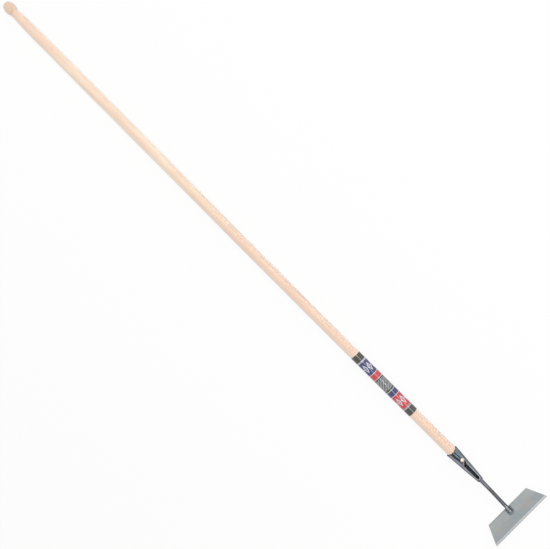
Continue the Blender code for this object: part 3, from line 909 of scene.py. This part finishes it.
@dataclass
class TurnedHandle(Piece):
    """The ash shaft: a turned knob, a throat, a swollen grip, a waist, and a cone inside the socket."""

    name, node, slot = "ash_handle_turned", "ash_handle", Slot.WOOD
    socket: RolledSocket
    bow: Bow = Bow()
    length: float = 1.690
    radius: float = 0.0144
    swell_height: float = 0.0007
    swell: tuple[float, float] = (0.04, 0.76)
    waist_depth: float = 0.0002
    waist: tuple[float, float] = (0.82, 1.48)
    knob_radius: float = 0.0155
    knob_front: float = 0.0220
    knob_fullness: float = 0.86
    knob_back: float = 0.0168
    knob_length: float = 0.0335
    groove_length: float = 0.0020
    throat_radius: float = 0.0117
    throat_length: float = 0.0065
    flare_length: float = 0.078
    tip_chamfer: float = 0.0012
    chip_length: float = 0.0062
    chip_run: float = 0.012
    chip_rise: tuple[float, float] = (math.radians(-9), math.radians(12))
    chip_fall: tuple[float, float] = (1.2, 1.8)
    centre_mark: tuple[float, float] = (0.0013, 0.0012)
    end_dome: float = 0.0001
    unevenness: float = 0.00010
    uneven_rise: tuple[float, float] = (0.04, 0.12)
    uneven_fall: tuple[float, float] = (1.60, 1.64)
    sanding_waves: tuple[float, ...] = (0.11, 0.17, 0.31)
    end_grain_fade: tuple[float, float] = (0.03, 0.045)
    light_stain_and_shade: tuple[float, float] = (0.003, 0.006)
    full_stain_and_shade: tuple[float, float] = (0.030, 0.041)
    cream_rise: tuple[float, float] = (0.06, 0.20)
    cream_fall: tuple[float, float] = (0.62, 0.84)
    sides: int = 112

    def shaft_radius(self, station: Array) -> Array:
        """The radius behind the knob: a quarter sine's flare, plus the swell, less the waist, then the bore.

        Args:
            station: Where to read it.

        Returns:
            Radii.
        """
        flare = np.clip((station - self.knob_length - self.throat_length) / self.flare_length, 0, 1)
        radius = between(self.throat_radius, self.radius, np.sin(flare * QUARTER_TURN))
        radius = radius + self.swell_height * hump(*self.swell, station)
        radius = radius - self.waist_depth * hump(*self.waist, station)
        in_socket = self.socket.bore(station - self.socket.mouth) - GAP
        return np.where(station > self.socket.mouth, in_socket, radius)

    def knob_profile(self) -> tuple[Array, Array]:
        """A blunted quarter ellipse, then a plain one, that meet at the knob's widest ring.

        The front's sine and cosine are raised to the fullness, which squares it up. Its end has a lathe mark.

        Returns:
            Stations and radii.
        """
        mark_radius, mark_depth = self.centre_mark
        front = np.linspace(QUARTER_TURN, 0, 60)
        back = np.linspace(0, math.asin((self.knob_length - self.knob_front) / self.knob_back), 32)[1:]
        front_station = self.knob_front * (1 - np.sin(front) ** self.knob_fullness)
        front_station = front_station + self.end_dome * np.sin(front)
        front_radius = self.knob_radius * np.clip(np.cos(front), 0, 1) ** self.knob_fullness
        station = np.concatenate([front_station, self.knob_front + self.knob_back * np.sin(back)])
        radius = np.concatenate([front_radius, self.knob_radius * np.cos(back)])
        outside = radius > mark_radius * 1.3
        mark = np.linspace(0.15, 1, 5)
        station = np.concatenate([mark_depth * (1 - mark) + self.end_dome, station[outside]])
        return station, np.concatenate([mark_radius * mark, radius[outside]])

    def profile(self) -> tuple[Array, Array]:
        """The knob, a smooth step down into the groove, the shaft, and the chamfered tip in the socket.

        Returns:
            Stations and radii.
        """
        station, radius = self.knob_profile()
        groove_end = self.knob_length + self.groove_length
        groove = np.linspace(self.knob_length, groove_end, 7)[1:]
        step = smooth_step(self.knob_length, groove_end, groove)
        flare_end = self.knob_length + self.throat_length + self.flare_length
        runs = [
            np.linspace(groove_end, flare_end, 50)[1:],
            np.linspace(flare_end, self.socket.mouth, 170)[1:],
            np.linspace(self.socket.mouth + 0.0005, self.length - self.tip_chamfer, 14),
        ]
        shaft = np.concatenate(runs)
        shaft_radius = self.shaft_radius(shaft)
        tip = np.array([self.length - self.tip_chamfer * 0.3, self.length])
        tip_radius = shaft_radius[-1] - self.tip_chamfer * np.array([0.35, 1.0])
        groove_radius = between(radius[-1], self.throat_radius, step)
        station = np.concatenate([station, groove, shaft, tip])
        return station, np.concatenate([radius, groove_radius, shaft_radius, tip_radius])

    def skin(self) -> Skin:
        """The profile turned round the axis, a little uneven and oval from sanding, chipped at its tip.

        Returns:
            The closed skin, with masks for the end grain, the creamier length and the wood inside the socket,
            darkened partly by lacquer stain and partly as painted shade.
        """
        station, radius = [part[:, None] for part in self.profile()]
        rise, run = np.gradient(radius, axis=0), np.gradient(station, axis=0)
        slope = np.abs(rise) / np.hypot(rise, run)
        knob = 1 - smooth_step(*self.end_grain_fade, station)
        end_grain = 0.6 * smooth_step(0.35, 0.95, slope) + 0.4 * knob
        # inside the socket the wood is darkened, partly by lacquer stain and partly as painted shade
        within = station - self.socket.mouth
        stain_and_shade = 0.5 * (smooth_step(*self.light_stain_and_shade, within) + smooth_step(*self.full_stain_and_shade, within))
        cream = 0.6 * plateau(self.cream_rise, self.cream_fall, station)
        angle = ring_angles(self.sides)
        signed = (angle + math.pi) % FULL_TURN - math.pi
        chip = self.chip_length * plateau(self.chip_rise, self.chip_fall, signed)
        chip = chip * smooth_step(self.length - self.chip_run, self.length, station)
        free = plateau(self.uneven_rise, self.uneven_fall, station)
        sanding = ripple(station, self.sanding_waves, 3) + 0.8 * np.cos(2 * angle + 4 * station)
        points = revolve(station - chip, radius + self.unevenness * free * sanding, self.sides)
        masks = {"end_grain": end_grain, "stain_and_shade": stain_and_shade, "cream": cream}
        return Skin(on_axis(self.bow.bent(points)), masks=masks)


@dataclass
class LabelSleeve(Piece):
    """The printed film shrunk round the handle, with ends that the heat drew in a little unevenly."""

    name, node, slot = "label_sleeve_film", "label_sleeve", Slot.FILM
    handle: TurnedHandle
    start: float = 1.2897
    length: float = 0.2122
    lift: float = 0.00006
    wall: float = 0.00022
    end_waver: float = 0.0005
    pucker: float = 0.00004
    sides: int = 140

    def finish(self) -> ShrunkFilm:
        """The film's finish, fitted to its length and the handle's girth."""
        return ShrunkFilm(length_mm=self.length * PER_MM, wrap_mm=FULL_TURN * self.handle.radius * PER_MM)

    def skin(self) -> Skin:
        """A thin loop turned round the axis: out along the outside, back along the inside, round at each end.

        Returns:
            The closed skin, with surface coordinates along and round the handle.
        """
        along, side, beyond = [part[:, None] for part in wall_loop(90, 5)]
        angle = ring_angles(self.sides)
        waver = [
            np.sin(2 * angle + turn) + 0.6 * np.sin(3 * angle + 2 * turn) + 0.3 * np.sin(7 * angle + turn)
            for turn in (0.4, 2.1)
        ]
        inset = self.end_waver
        shift = self.end_waver * ((1 - along) ** 6 * waver[0] + along**6 * waver[1]) / 2
        station = self.start + inset + (self.length - 2 * inset) * along + self.wall / 2 * beyond + shift
        hug = self.handle.shaft_radius(station) + self.lift + self.wall / 2
        pucker = self.pucker * (1 + np.sin(23 * angle + 3)) * ((1 - along) ** 30 + along**30)
        points = revolve(station, hug + self.wall / 2 * side + pucker, self.sides)
        turns = np.linspace(0, 1, self.sides + 1)[None, :]
        lengths = along * self.length * PER_MM + 0 * turns
        uv = np.stack([lengths, 0 * along + self.finish().wrap_mm * turns], axis=-1)
        return Skin(on_axis(self.handle.bow.bent(points)), looped=True, capped=False, uv=uv)


@dataclass
class DrivenNail(Piece):
    """The nail's domed head on the socket, with the top of its shank going through to the wood."""

    name, node, slot = "nail_head_domed", "handle_nail", Slot.NAIL
    socket: RolledSocket
    head_radius: float = 0.0054
    head_height: float = 0.0026
    rim_height: float = 0.0007
    rim_radius: float = 0.0004
    rim_tuck: float = 0.0003
    shank_radius: float = 0.0019
    shank_shown: float = 0.0020
    dint: float = 0.00007
    dome_powers: tuple[float, float] = (0.92, 1.15)
    sides: int = 64

    def skin(self) -> Skin:
        """A flattened dome turned round the nail's own axis, with a rounded rim and a few flats.

        The axis stands square to the socket's cone in the seam, so it leans by the seam's roll and the
        cone's angle.

        Returns:
            The closed skin.
        """
        dome = np.linspace(0.04, 1, 22) * QUARTER_TURN
        rim = np.linspace(0, QUARTER_TURN, 6)[1:]
        body = self.head_height - self.rim_height
        radii = [
            (self.head_radius - self.rim_radius) * np.sin(dome) ** self.dome_powers[0],
            self.head_radius - self.rim_radius * (1 - np.sin(rim)),
            [self.head_radius - self.rim_tuck, self.shank_radius, self.shank_radius],
        ]
        heights = [
            self.rim_height + body * np.cos(dome) ** self.dome_powers[1],
            self.rim_height - self.rim_radius * (1 - np.cos(rim)),
            [0.0, 0.0, -self.shank_shown],
        ]
        radius = np.concatenate(radii)[:, None]
        turned = revolve(np.concatenate(heights), radius, self.sides)
        angle = ring_angles(self.sides)
        on_top = smooth_step(0.0, self.head_height, turned[..., 0])
        dints = self.dint * (np.sin(3 * angle + 1) + np.sin(5 * angle + radius * 2000))
        turned[..., 0] -= dints * on_top * (radius / self.head_radius)
        cone = math.atan2(self.socket.mouth_radius - self.socket.tail_radius, self.socket.length)
        roll = self.socket.roll_at_mouth
        axis = np.array([math.sin(cone), math.cos(cone) * math.sin(roll), math.cos(cone) * math.cos(roll)])
        side = np.array([0, math.cos(roll), -math.sin(roll)])
        seat = float(self.socket.outer(self.socket.nail_depth)) + GAP / 3
        foot = [self.socket.mouth + self.socket.nail_depth, seat * math.sin(roll), seat * math.cos(roll)]
        return Skin(on_axis(turned @ np.stack([axis, side, np.cross(side, axis)]) + np.array(foot)))


@dataclass
class TrapeziumBlade(Piece):
    """A plate that widens towards its cutting edge, ground to a bevel on its upper face."""

    name, node, slot = "blade_plate", "blade", Slot.BLADE
    tilt: float = math.radians(45)
    depth: float = 0.055
    back_width: float = 0.1382
    edge_width: float = 0.18357
    thickness: float = 0.0025
    bevel_depth: float = 0.0055
    edge_thickness: float = 0.0006
    corner_radius: float = 0.0015
    arris: float = 0.00035
    bevel_arris: float = 0.0005
    back_station: float = 1.854
    waviness: float = 0.00005
    heave_waves: tuple[float, ...] = (0.033, 0.061, 0.097)
    bevel_waver: float = 0.0002
    bevel_waves: tuple[float, ...] = (0.011, 0.023, 0.041)
    line_reach: float = 0.004
    weld_aside: float = -0.0024
    weld_reach: float = 0.017
    heat_fade: tuple[float, float] = (0.011, 0.024)
    rolled_edge_highlight: tuple[float, float] = (0.002, 0.012)
    sheared_and_shaded_back: tuple[float, float] = (0.0002, 0.0012)
    shade_behind_back: tuple[float, float] = (0.0022, 0.0044)
    sheared_edge: float = 0.0035
    rows: int = 221

    def along(self) -> Array:
        """The direction from the back edge to the cutting edge."""
        return np.array([math.cos(self.tilt), 0, math.sin(self.tilt)])

    def up(self) -> Array:
        """The direction out of the upper face."""
        return np.array([-math.sin(self.tilt), 0, math.cos(self.tilt)])

    def back(self) -> Array:
        """The middle of the back edge's upper corner, so placed that its lower corner is on the ground."""
        return np.array([self.back_station, 0, self.thickness * math.cos(self.tilt) - AXIS_HEIGHT])

    def lay(self, forward: Array, across: Array, height: Array) -> Array:
        """Turns places on the blade into the frame.

        Args:
            forward: Distance from the back edge.
            across: Distance from the middle, towards +Y.
            height: Height above the upper face.

        Returns:
            Points.
        """
        forward, across, height = np.broadcast_arrays(forward, across, height)
        points = self.back() + forward[..., None] * self.along() + height[..., None] * self.up()
        return on_axis(points + across[..., None] * np.array([0, 1, 0]))

    def section(self) -> Array:
        """The plate's outline from the side: five corners, each rounded by a quadratic curve.

        Returns:
            (forward, height) pairs round the section, as (points, 2).
        """
        under, edge = -self.thickness, self.edge_thickness - self.thickness
        to_bevel, end = self.depth - self.bevel_depth, self.depth
        corners = np.array([[0, under], [0, 0], [to_bevel, 0], [end, edge], [end, under]])
        radii = np.array([self.arris, self.arris, self.bevel_arris, self.arris / 2, self.arris / 2])[:, None]
        enter = corners + unit(np.roll(corners, 1, axis=0) - corners) * radii
        leave = corners + unit(np.roll(corners, -1, axis=0) - corners) * radii
        bend = np.linspace(0, 1, 5)[:, None]
        runs = []
        for index, count in enumerate((4, 60, 12, 4, 60)):
            start, middle, end = enter[index], corners[index], leave[index]
            runs.append((1 - bend) ** 2 * start + 2 * bend * (1 - bend) * middle + bend**2 * end)
            runs.append(between(end, enter[(index + 1) % 5], np.linspace(0, 1, count + 2)[1:-1, None]))
        return np.concatenate(runs)

    def half_width(self, forward: Array) -> Array:
        """Half the blade's width: straight sides that part, drawn in round the corners.

        Args:
            forward: Distance from the back edge.

        Returns:
            Half widths.
        """
        width = between(self.back_width, self.edge_width, forward / self.depth) / 2
        to_end = np.minimum(forward, self.depth - forward)
        return width - self.corner_radius * (1 - rounding(to_end, self.corner_radius))

    def skin(self) -> Skin:
        """The section carried across the blade, each row scaled to the width at its points.

        Returns:
            The closed skin, with its masks.
        """
        section = self.section()
        tangent = np.roll(section, -1, axis=0) - np.roll(section, 1, axis=0)
        outward = unit(np.stack([-tangent[:, 1], tangent[:, 0]], axis=1))
        turn = np.linspace(0, QUARTER_TURN, 6)
        inset, drop = self.arris * (1 - np.sin(turn)), self.arris * (1 - np.cos(turn))
        middle = np.linspace(-1, 1, self.rows)[1:-1]
        share = np.concatenate([-1 + 0 * turn, middle, 1 + 0 * turn])[:, None]
        inset = np.concatenate([inset, 0 * middle, inset[::-1]])[:, None]
        drop = np.concatenate([drop, 0 * middle + drop[-1], drop[::-1]])[:, None]
        forward, height = [section[:, side] - inset * outward[:, side] for side in (0, 1)]
        across = share * (self.half_width(forward) - self.arris + drop)
        line = self.bevel_waver * ripple(across, self.bevel_waves, 5)
        to_bevel = self.depth - self.bevel_depth
        near = hump(to_bevel - self.line_reach, to_bevel + self.line_reach, forward)
        forward = forward + line * (near * (height > -self.thickness / 2))
        upper = smooth_step(-self.thickness, -self.thickness / 2, height)
        heave = ripple(across + 0.4 * forward, self.heave_waves, 8)
        height = height + self.waviness * heave * upper * hump(-0.01, self.depth + 0.01, forward)
        masks = self.wear(forward, across, height / self.thickness, forward - to_bevel - line)
        return Skin(self.lay(forward, across, height), masks=masks, crease=35)

    def wear(self, forward: Array, across: Array, level: Array, past_line: Array) -> dict[str, Array]:
        """Bright ground steel past the bevel's line, a painted highlight and painted shade along the back
        edge on the -Y half, sheared edges, temper, heat.

        Args:
            forward: Distance from the back edge.
            across: Distance from the middle, towards +Y.
            level: 0 on the upper face, -1 on the lower.
            past_line: Distance past the line where the bevel starts.

        Returns:
            The masks by name.
        """
        facing_up, near_side = smooth_step(-0.9, -0.4, level), smooth_step(0.002, -0.012, across)
        on_bevel = smooth_step(-0.0003, 0.0003, past_line) * smooth_step(-1.0, -0.8, level)
        # painted highlight in a band beside the back edge, on the -Y half of the upper face
        rolled_edge_highlight = 0.55 * (hump(*self.rolled_edge_highlight, forward) * near_side * facing_up)
        # dark sheared edges; on the -Y half, painted shade along the back edge and a few millimetres in from
        # it
        at_back = (1 - smooth_step(*self.sheared_and_shaded_back, forward)) * (0.35 + 0.65 * near_side)
        behind = 0.22 * (1 - smooth_step(*self.shade_behind_back, forward)) * near_side
        at_edge = 0.25 * smooth_step(self.depth - self.sheared_edge, self.depth, forward)
        from_weld = np.hypot(np.clip(forward - self.weld_reach, 0, None), (across - self.weld_aside) * 1.1)
        off_middle = np.abs(across) / (self.edge_width / 2)
        return {
            "ground_and_highlight": np.maximum(on_bevel, rolled_edge_highlight),
            "sheared_and_shaded": np.maximum(np.maximum(at_back, behind), at_edge),
            "heat": (1 - smooth_step(*self.heat_fade, from_weld)) * facing_up,
            "temper": hump(0.006, self.depth - 0.004, forward) * hump(0.05, 0.95, off_middle) * facing_up,
            "blued": 0.5 * smooth_step(0.38 * self.depth, 0.6 * self.depth, forward) * facing_up,
        }


@dataclass
class BentNeck(Piece):
    """The round bar from socket to blade: straight, dipped, bent up, then flattened to a foot."""

    name, node, slot = "neck_bar", "neck_rod", Slot.LACQUERED
    socket: RolledSocket
    blade: TrapeziumBlade
    depth_in_socket: float = 0.0060
    root_radius: float = 0.0054
    root_end: float = 1.790
    radius: float = 0.00485
    heel_radius: float = 0.0050
    dip: float = 0.0075
    dip_start: float = 1.770
    dip_end: float = 1.838
    lean: float = -0.0024
    lean_start: float = 1.758
    lean_end: float = 1.876
    thickening_start: float = 1.818
    bend_radius: float = 0.014
    foot_length: float = 0.0232
    foot_taper_start: float = 0.4
    tip_half_height: float = 0.0026
    tip_half_width: float = 0.0040
    tip_rounding: float = 0.005
    forging: float = 0.012
    forging_waves: tuple[float, ...] = (0.013, 0.021, 0.047)
    highlight_aside: float = 0.3
    highlight_run: float = 0.016
    shade_fade: tuple[float, float] = (0.004, 0.0075)
    sides: int = 56

    def start(self) -> float:
        """The station where the neck ends inside the socket's tail."""
        return self.socket.mouth + self.socket.length - self.depth_in_socket

    def path(self) -> tuple[Array, Array, Array, Array]:
        """A straight bar lowered by a smooth step, an arc as steep as the blade, and a straight foot on it.

        The foot's sections shrink with the square of the distance and keep their underside on the blade. A
        second smooth step leans the path to one side.

        Returns:
            The middle line, the direction along it, and the section's half widths and half heights.
        """
        along, up = self.blade.along(), self.blade.up()
        heel = self.blade.back() + up * (self.heel_radius + GAP)
        corner = heel + along * ((-self.dip - heel[2]) / along[2])
        bend_start = corner[0] - self.bend_radius * math.tan(self.blade.tilt / 2)
        station = np.linspace(self.start(), bend_start, 120)
        drop = -self.dip * smooth_step(self.dip_start, self.dip_end, station)
        thick = smooth_step(self.thickening_start, bend_start, station)
        root = 1 - smooth_step(self.start(), self.root_end, station)
        bar_radius = between(self.radius, self.heel_radius, thick) + (self.root_radius - self.radius) * root
        angle = np.linspace(0, self.blade.tilt, 18)[1:]
        arc_station = bend_start + self.bend_radius * np.sin(angle)
        arc_height = -self.dip + self.bend_radius * (1 - np.cos(angle))
        bend_end = np.array([arc_station[-1], 0, arc_height[-1]])
        straight = (self.blade.back() + along * self.foot_length - bend_end) @ along
        to_tip = 1 - 0.15 * np.cos(np.linspace(0.2, QUARTER_TURN, 14))
        share = np.concatenate([np.linspace(0, 0.85, 24)[1:], to_tip])
        taper = part_way(self.foot_taper_start, 1, share) ** 2
        closing = rounding((1 - share) * straight, self.tip_rounding)
        foot_width = between(self.heel_radius, self.tip_half_width, taper) * closing**0.5
        foot_height = between(self.heel_radius, self.tip_half_height, taper) * closing
        foot = bend_end + along * (straight * share)[:, None] - up * (self.heel_radius - foot_height)[:, None]
        bar = np.stack([station, 0 * station, drop], axis=1)
        arc = np.stack([arc_station, 0 * angle, arc_height], axis=1)
        centre = np.concatenate([bar, arc, foot])
        centre[:, 1] = self.lean * smooth_step(self.lean_start, self.lean_end, centre[:, 0])
        direction = np.gradient(centre * np.array([1, 0, 1]), axis=0)
        direction[-len(share) :] = along
        round_part = np.full(len(angle), self.heel_radius)
        half_width = np.concatenate([bar_radius, round_part, foot_width])
        return centre, unit(direction), half_width, np.concatenate([bar_radius, round_part, foot_height])

    def skin(self) -> Skin:
        """An ellipse carried along the neck's path, a little uneven from forging.

        Returns:
            The closed skin, with masks for the painted highlight along the foot's top and near the socket,
            and the painted shade on its end inside the socket's tail.
        """
        centre, direction, half_width, half_height = self.path()
        normal = np.stack([-direction[:, 2], 0 * direction[:, 1], direction[:, 0]], axis=1)
        run = np.concatenate([[0], np.cumsum(np.linalg.norm(np.diff(centre, axis=0), axis=1))])
        turn = ring_angles(self.sides)[..., None]
        flats = ripple(run, self.forging_waves, 11)[:, None, None]
        marks = 1 + self.forging * flats * np.cos(turn + 1) ** 2
        ring = normal[:, None] * (half_height[:, None, None] * np.cos(turn)) * marks
        ring = ring + np.array([0, 1, 0]) * (half_width[:, None, None] * np.sin(turn)) * marks
        station = centre[:, :1]
        # painted highlight along the foot's top, set a little towards -Y, and a faint one near the socket
        on_top = smooth_step(0.72, 0.97, np.cos(ring_angles(self.sides) + self.highlight_aside))
        wear_and_highlight = on_top * smooth_step(self.dip_end, self.dip_end + self.highlight_run, station)
        wear_and_highlight = np.maximum(wear_and_highlight, 0.12 * (1 - smooth_step(self.dip_start, self.root_end, station)))
        # painted shade on the bar's end inside the socket's tail
        painted_shade = 1 - smooth_step(*[self.start() + fade for fade in self.shade_fade], station)
        return Skin(on_axis(centre[:, None] + ring), masks={"wear_and_highlight": wear_and_highlight, "painted_shade": painted_shade})


@dataclass
class TailWeld(Piece):
    """The ring of weld that closes the socket's tail round the neck."""

    name, node, slot = "socket_weld_bead", "socket_weld", Slot.LACQUERED
    socket: RolledSocket
    neck: BentNeck
    length: float = 0.0062
    flatness: float = 1.4
    overlap: float = 0.0016
    toe: float = 0.00018
    toe_sunk: float = 0.0001
    bore_sunk: float = 0.0002
    crescent: float = 0.00016
    pitch: float = 0.0014
    waver: float = 0.0003
    sides: int = 180

    def skin(self) -> Skin:
        """A shoulder turned round the neck: a low toe on the socket, then a flattened quarter ellipse.

        Returns:
            The closed skin, with a mask that paints a highlight on its shoulder.
        """
        tail = self.socket.mouth + self.socket.length
        turn = np.linspace(0, QUARTER_TURN, 20)
        lap = np.linspace(0, 1, 6)[:-1]
        inner = self.neck.radius - self.bore_sunk
        crest = float(self.socket.outer(self.socket.length)) + self.toe
        toe_radius = self.socket.outer(self.socket.length - self.overlap * (1 - lap)) - self.toe_sunk
        toe_radius = toe_radius + (self.toe + self.toe_sunk) * smooth_step(0, 1, lap)
        back = np.linspace(1, 0, 8)
        runs = [
            -self.overlap * (1 - lap),
            self.length * np.sin(turn) ** self.flatness,
            (self.length + self.overlap) * back - self.overlap,
        ]
        fall = np.clip(np.cos(turn), 0, 1) ** self.flatness
        radius = np.concatenate([toe_radius, between(inner, crest, fall), 0 * back + inner])[:, None]
        across = np.concatenate([lap - 1, turn / QUARTER_TURN, 1 + 0 * back])[:, None]
        angle = ring_angles(self.sides)
        marks = scale_marks(angle * crest, 2 * np.abs(across + 0.1) - 1, self.pitch)
        marks = marks * smooth_step(-1, 0.1, across)
        waver = self.waver * (np.sin(3 * angle) + np.sin(5 * angle + 1)) * (1 - across**2)
        station = tail + np.concatenate(runs)[:, None] + waver
        points = revolve(station, radius + self.crescent * marks, self.sides)
        # painted highlight on the shoulder, whose slope turns away from the lamps
        masks = {"wear_and_highlight": 0.65 * smooth_step(0.1, 0.5, across)}
        return Skin(on_axis(points), looped=True, capped=False, masks=masks)


@dataclass
class BladeWeld(Piece):
    """The bead that runs down one side of the neck's foot, round its tip and back up the other side."""

    name, node, slot = "blade_weld_bead", "blade_weld", Slot.WELD
    blade: TrapeziumBlade
    first: float = 0.0008
    side_offset: float = 0.0060
    turn_start: float = 0.0175
    turn_reach: float = 0.0053
    half_width: float = 0.0033
    height: float = 0.0043
    sunk: float = 0.0003
    end_radius: float = 0.0016
    width_waver: float = 0.07
    width_waves: tuple[float, ...] = (0.005, 0.0083, 0.013)
    height_waver: float = 0.0002
    height_waves: tuple[float, ...] = (0.007, 0.011)
    crescent: float = 0.00017
    pitch: float = 0.0015
    columns: int = 30

    def path(self) -> tuple[Array, Array, Array]:
        """The bead's middle line: a straight run, half an ellipse round the tip, a straight run back.

        Returns:
            Forward and across of each point, and the distance run so far.
        """
        straight = np.linspace(self.first, self.turn_start, 110)
        turn = np.linspace(0, math.pi, 130)[1:-1]
        forward = np.concatenate([straight, self.turn_start + self.turn_reach * np.sin(turn), straight[::-1]])
        across = self.side_offset * np.concatenate([1 + 0 * straight, np.cos(turn), -1 + 0 * straight])
        run = np.concatenate([[0], np.cumsum(np.hypot(np.diff(forward), np.diff(across)))])
        return forward, across, run

    def skin(self) -> Skin:
        """A mound carried along the path, as high as the mean of a parabola and a squared cosine.

        Returns:
            The closed skin, rounded at both ends.
        """
        forward, across, run = [part[:, None] for part in self.path()]
        tangent = unit(np.concatenate([np.gradient(forward, axis=0), np.gradient(across, axis=0)], axis=1))
        closing = rounding(np.minimum(run, run[-1] - run), self.end_radius)
        width = self.half_width * (1 + self.width_waver * ripple(run, self.width_waves, 21))
        place = np.linspace(-1, 1, self.columns)[None, :]
        mound = 0.5 * (1 - place**2) + 0.5 * np.cos(place * QUARTER_TURN) ** 2
        top = (self.height + self.height_waver * ripple(run, self.height_waves, 4)) * mound
        top = top + self.crescent * scale_marks(run, place, self.pitch)
        under = np.zeros((len(run), self.columns - 2))
        offset = np.concatenate([width * place, width * place[:, ::-1][:, 1:-1]], axis=1)
        height = np.concatenate([top, under], axis=1) * closing - self.sunk
        forward = forward + tangent[:, 1:] * offset * closing
        across = self.blade.weld_aside + across - tangent[:, :1] * offset * closing
        return Skin(self.blade.lay(forward, across, height))


@dataclass
class Studio:
    """A pale floor under soft lamps, seen from straight above with the hoe lying across the picture."""

    camera_height: float = 2.400
    camera_place: tuple[float, float] = (0.0479, -0.0003)
    camera_turn: float = math.radians(45)
    lens_mm: float = 60.43
    sensor_mm: float = 36.0
    floor_size: float = 60.0
    floor_drop: float = 0.0004
    lamp_size: tuple[float, float] = (7.0, 0.7)
    lamp_place: tuple[float, float, float] = (0.0, 0.62, 2.9)
    lamp_spread: float = math.radians(84)
    lamp_power: float = 16.5
    side_lamp_size: tuple[float, float] = (4.0, 0.6)
    side_lamp_place: tuple[float, float, float] = (0.0, 2.6, 1.5)
    side_lamp_lean: float = math.radians(-60)
    side_lamp_power: float = 8.0
    sky: float = 0.72
    floor_glow: float = 0.9
    floor_colour: str = "#F4F4F4"
    white: str = "#FFFFFF"

    def camera(self) -> None:
        """The camera looks straight down, turned so that +X runs to the lower right."""
        camera = bpy.data.objects.new("camera", bpy.data.cameras.new("camera"))
        camera.data.lens = self.lens_mm
        camera.data.sensor_width = self.sensor_mm
        camera.location = (*self.camera_place, AXIS_HEIGHT + self.camera_height)
        camera.rotation_euler = (0, 0, self.camera_turn)
        bpy.context.scene.collection.objects.link(camera)
        bpy.context.scene.camera = camera

    def lamp(self, name: str, place: tuple, lean: float, size: tuple, power: float, spread: float) -> None:
        """Adds a soft rectangular lamp that the camera doesn't see.

        Args:
            name: Its name.
            place: Its middle.
            lean: Its turn about X. Unturned, it shines straight down.
            size: Its length and width.
            power: Its power in watts.
            spread: The angle that its light stays within.
        """
        light = bpy.data.lights.new(name, "AREA")
        light.shape = "RECTANGLE"
        light.size, light.size_y = size
        light.energy, light.spread = power, spread
        lamp = bpy.data.objects.new(name, light)
        lamp.location = place
        lamp.rotation_euler = (lean, 0, 0)
        lamp.visible_camera = False
        bpy.context.scene.collection.objects.link(lamp)

    def whitened(self, tree: bpy.types.NodeTree, plain: Socket, glow: str, share: float, end: str) -> None:
        """Shows a shader as white to rays from the camera, reflections and glass only.

        Args:
            tree: The tree that gets the nodes.
            plain: The shader.
            glow: The kind of node that glows white.
            share: The share of white for those rays.
            end: The kind of node that the tree ends in.
        """
        rays = add_node(tree, "LightPath", {}).node.outputs
        direct = {0: rays["Is Camera Ray"], 1: rays["Is Glossy Ray"]}
        seen = add_node(tree, "Math", direct, operation="MAXIMUM")
        for other, operation in ((rays["Is Transmission Ray"], "MAXIMUM"), (share, "MULTIPLY")):
            seen = add_node(tree, "Math", {0: seen, 1: other}, operation=operation)
        white = add_node(tree, glow, {"Color": linear(self.white), "Strength": 1.0})
        add_node(tree, end, {0: add_node(tree, "MixShader", {0: seen, 1: plain, 2: white})})

    def floor(self) -> None:
        """A wide plane whose colour is white to the camera and to reflections, less the hoe's soft shadow."""
        half = self.floor_size / 2
        mesh = bpy.data.meshes.new("studio_floor")
        corners = [(-half, -half, 0), (half, -half, 0), (half, half, 0), (-half, half, 0)]
        mesh.from_pydata(corners, [], [(0, 1, 2, 3)])
        floor = bpy.data.objects.new("studio_floor", mesh)
        floor.location = (0, 0, -self.floor_drop)
        bpy.context.scene.collection.objects.link(floor)
        material = bpy.data.materials.new("white_card_floor")
        material.use_nodes = True
        tree = material.node_tree
        tree.nodes.clear()
        card = add_node(tree, "BsdfDiffuse", {"Color": linear(self.floor_colour)})
        self.whitened(tree, card, "Emission", self.floor_glow, "OutputMaterial")
        mesh.materials.append(material)

    def world(self) -> None:
        """An even pale sky, white to the camera and to reflections."""
        world = bpy.data.worlds.new("studio_sky")
        world.use_nodes = True
        bpy.context.scene.world = world
        tree = world.node_tree
        tree.nodes.clear()
        sky = add_node(tree, "Background", {"Color": linear(self.white), "Strength": self.sky})
        self.whitened(tree, sky, "Background", 1.0, "OutputWorld")

    def build(self) -> None:
        """Puts the camera, the lamps, the floor and the sky into the scene."""
        self.camera()
        self.lamp("overhead_softbox", self.lamp_place, 0.0, self.lamp_size, self.lamp_power, self.lamp_spread)
        side = (self.side_lamp_place, self.side_lamp_lean, self.side_lamp_size, self.side_lamp_power)
        self.lamp("side_panel", *side, math.pi)
        self.floor()
        self.world()
        bpy.context.scene.view_settings.view_transform = "Standard"
        LOG.info("studio ready")


def main() -> None:
    """Lights the studio, then builds and dresses each piece of the hoe."""
    logging.basicConfig(level=logging.INFO, format="%(message)s")
    Studio().build()
    lacquered, weld_metal = LacqueredSteel().build(), WeldMetal().build()
    # the rubbed tone of the bar's finish paints the highlight on the neck's foot and on the tail weld's
    # shoulder
    bar_tones = {"dark": "#54555D", "light": "#717175", "rubbed_and_highlight": "#ACAEB4", "grazing_tint": "#5C5C5C"}
    bar_lacquered = LacqueredSteel(name="steel_bar_dark_lacquered", **bar_tones).build()
    socket, blade = RolledSocket(), TrapeziumBlade()
    handle, neck = TurnedHandle(socket), BentNeck(socket, blade)
    sleeve = LabelSleeve(handle)
    handle.build(SandedAsh().build())
    sleeve.build(sleeve.finish().build())
    socket.build(lacquered)
    DrivenNail(socket).build(BrightNail().build())
    neck.build(bar_lacquered)
    TailWeld(socket, neck).build(bar_lacquered)
    blade.build(HardenedPlate().build())
    BladeWeld(blade).build(weld_metal)


if __name__ == "__main__":
    main()
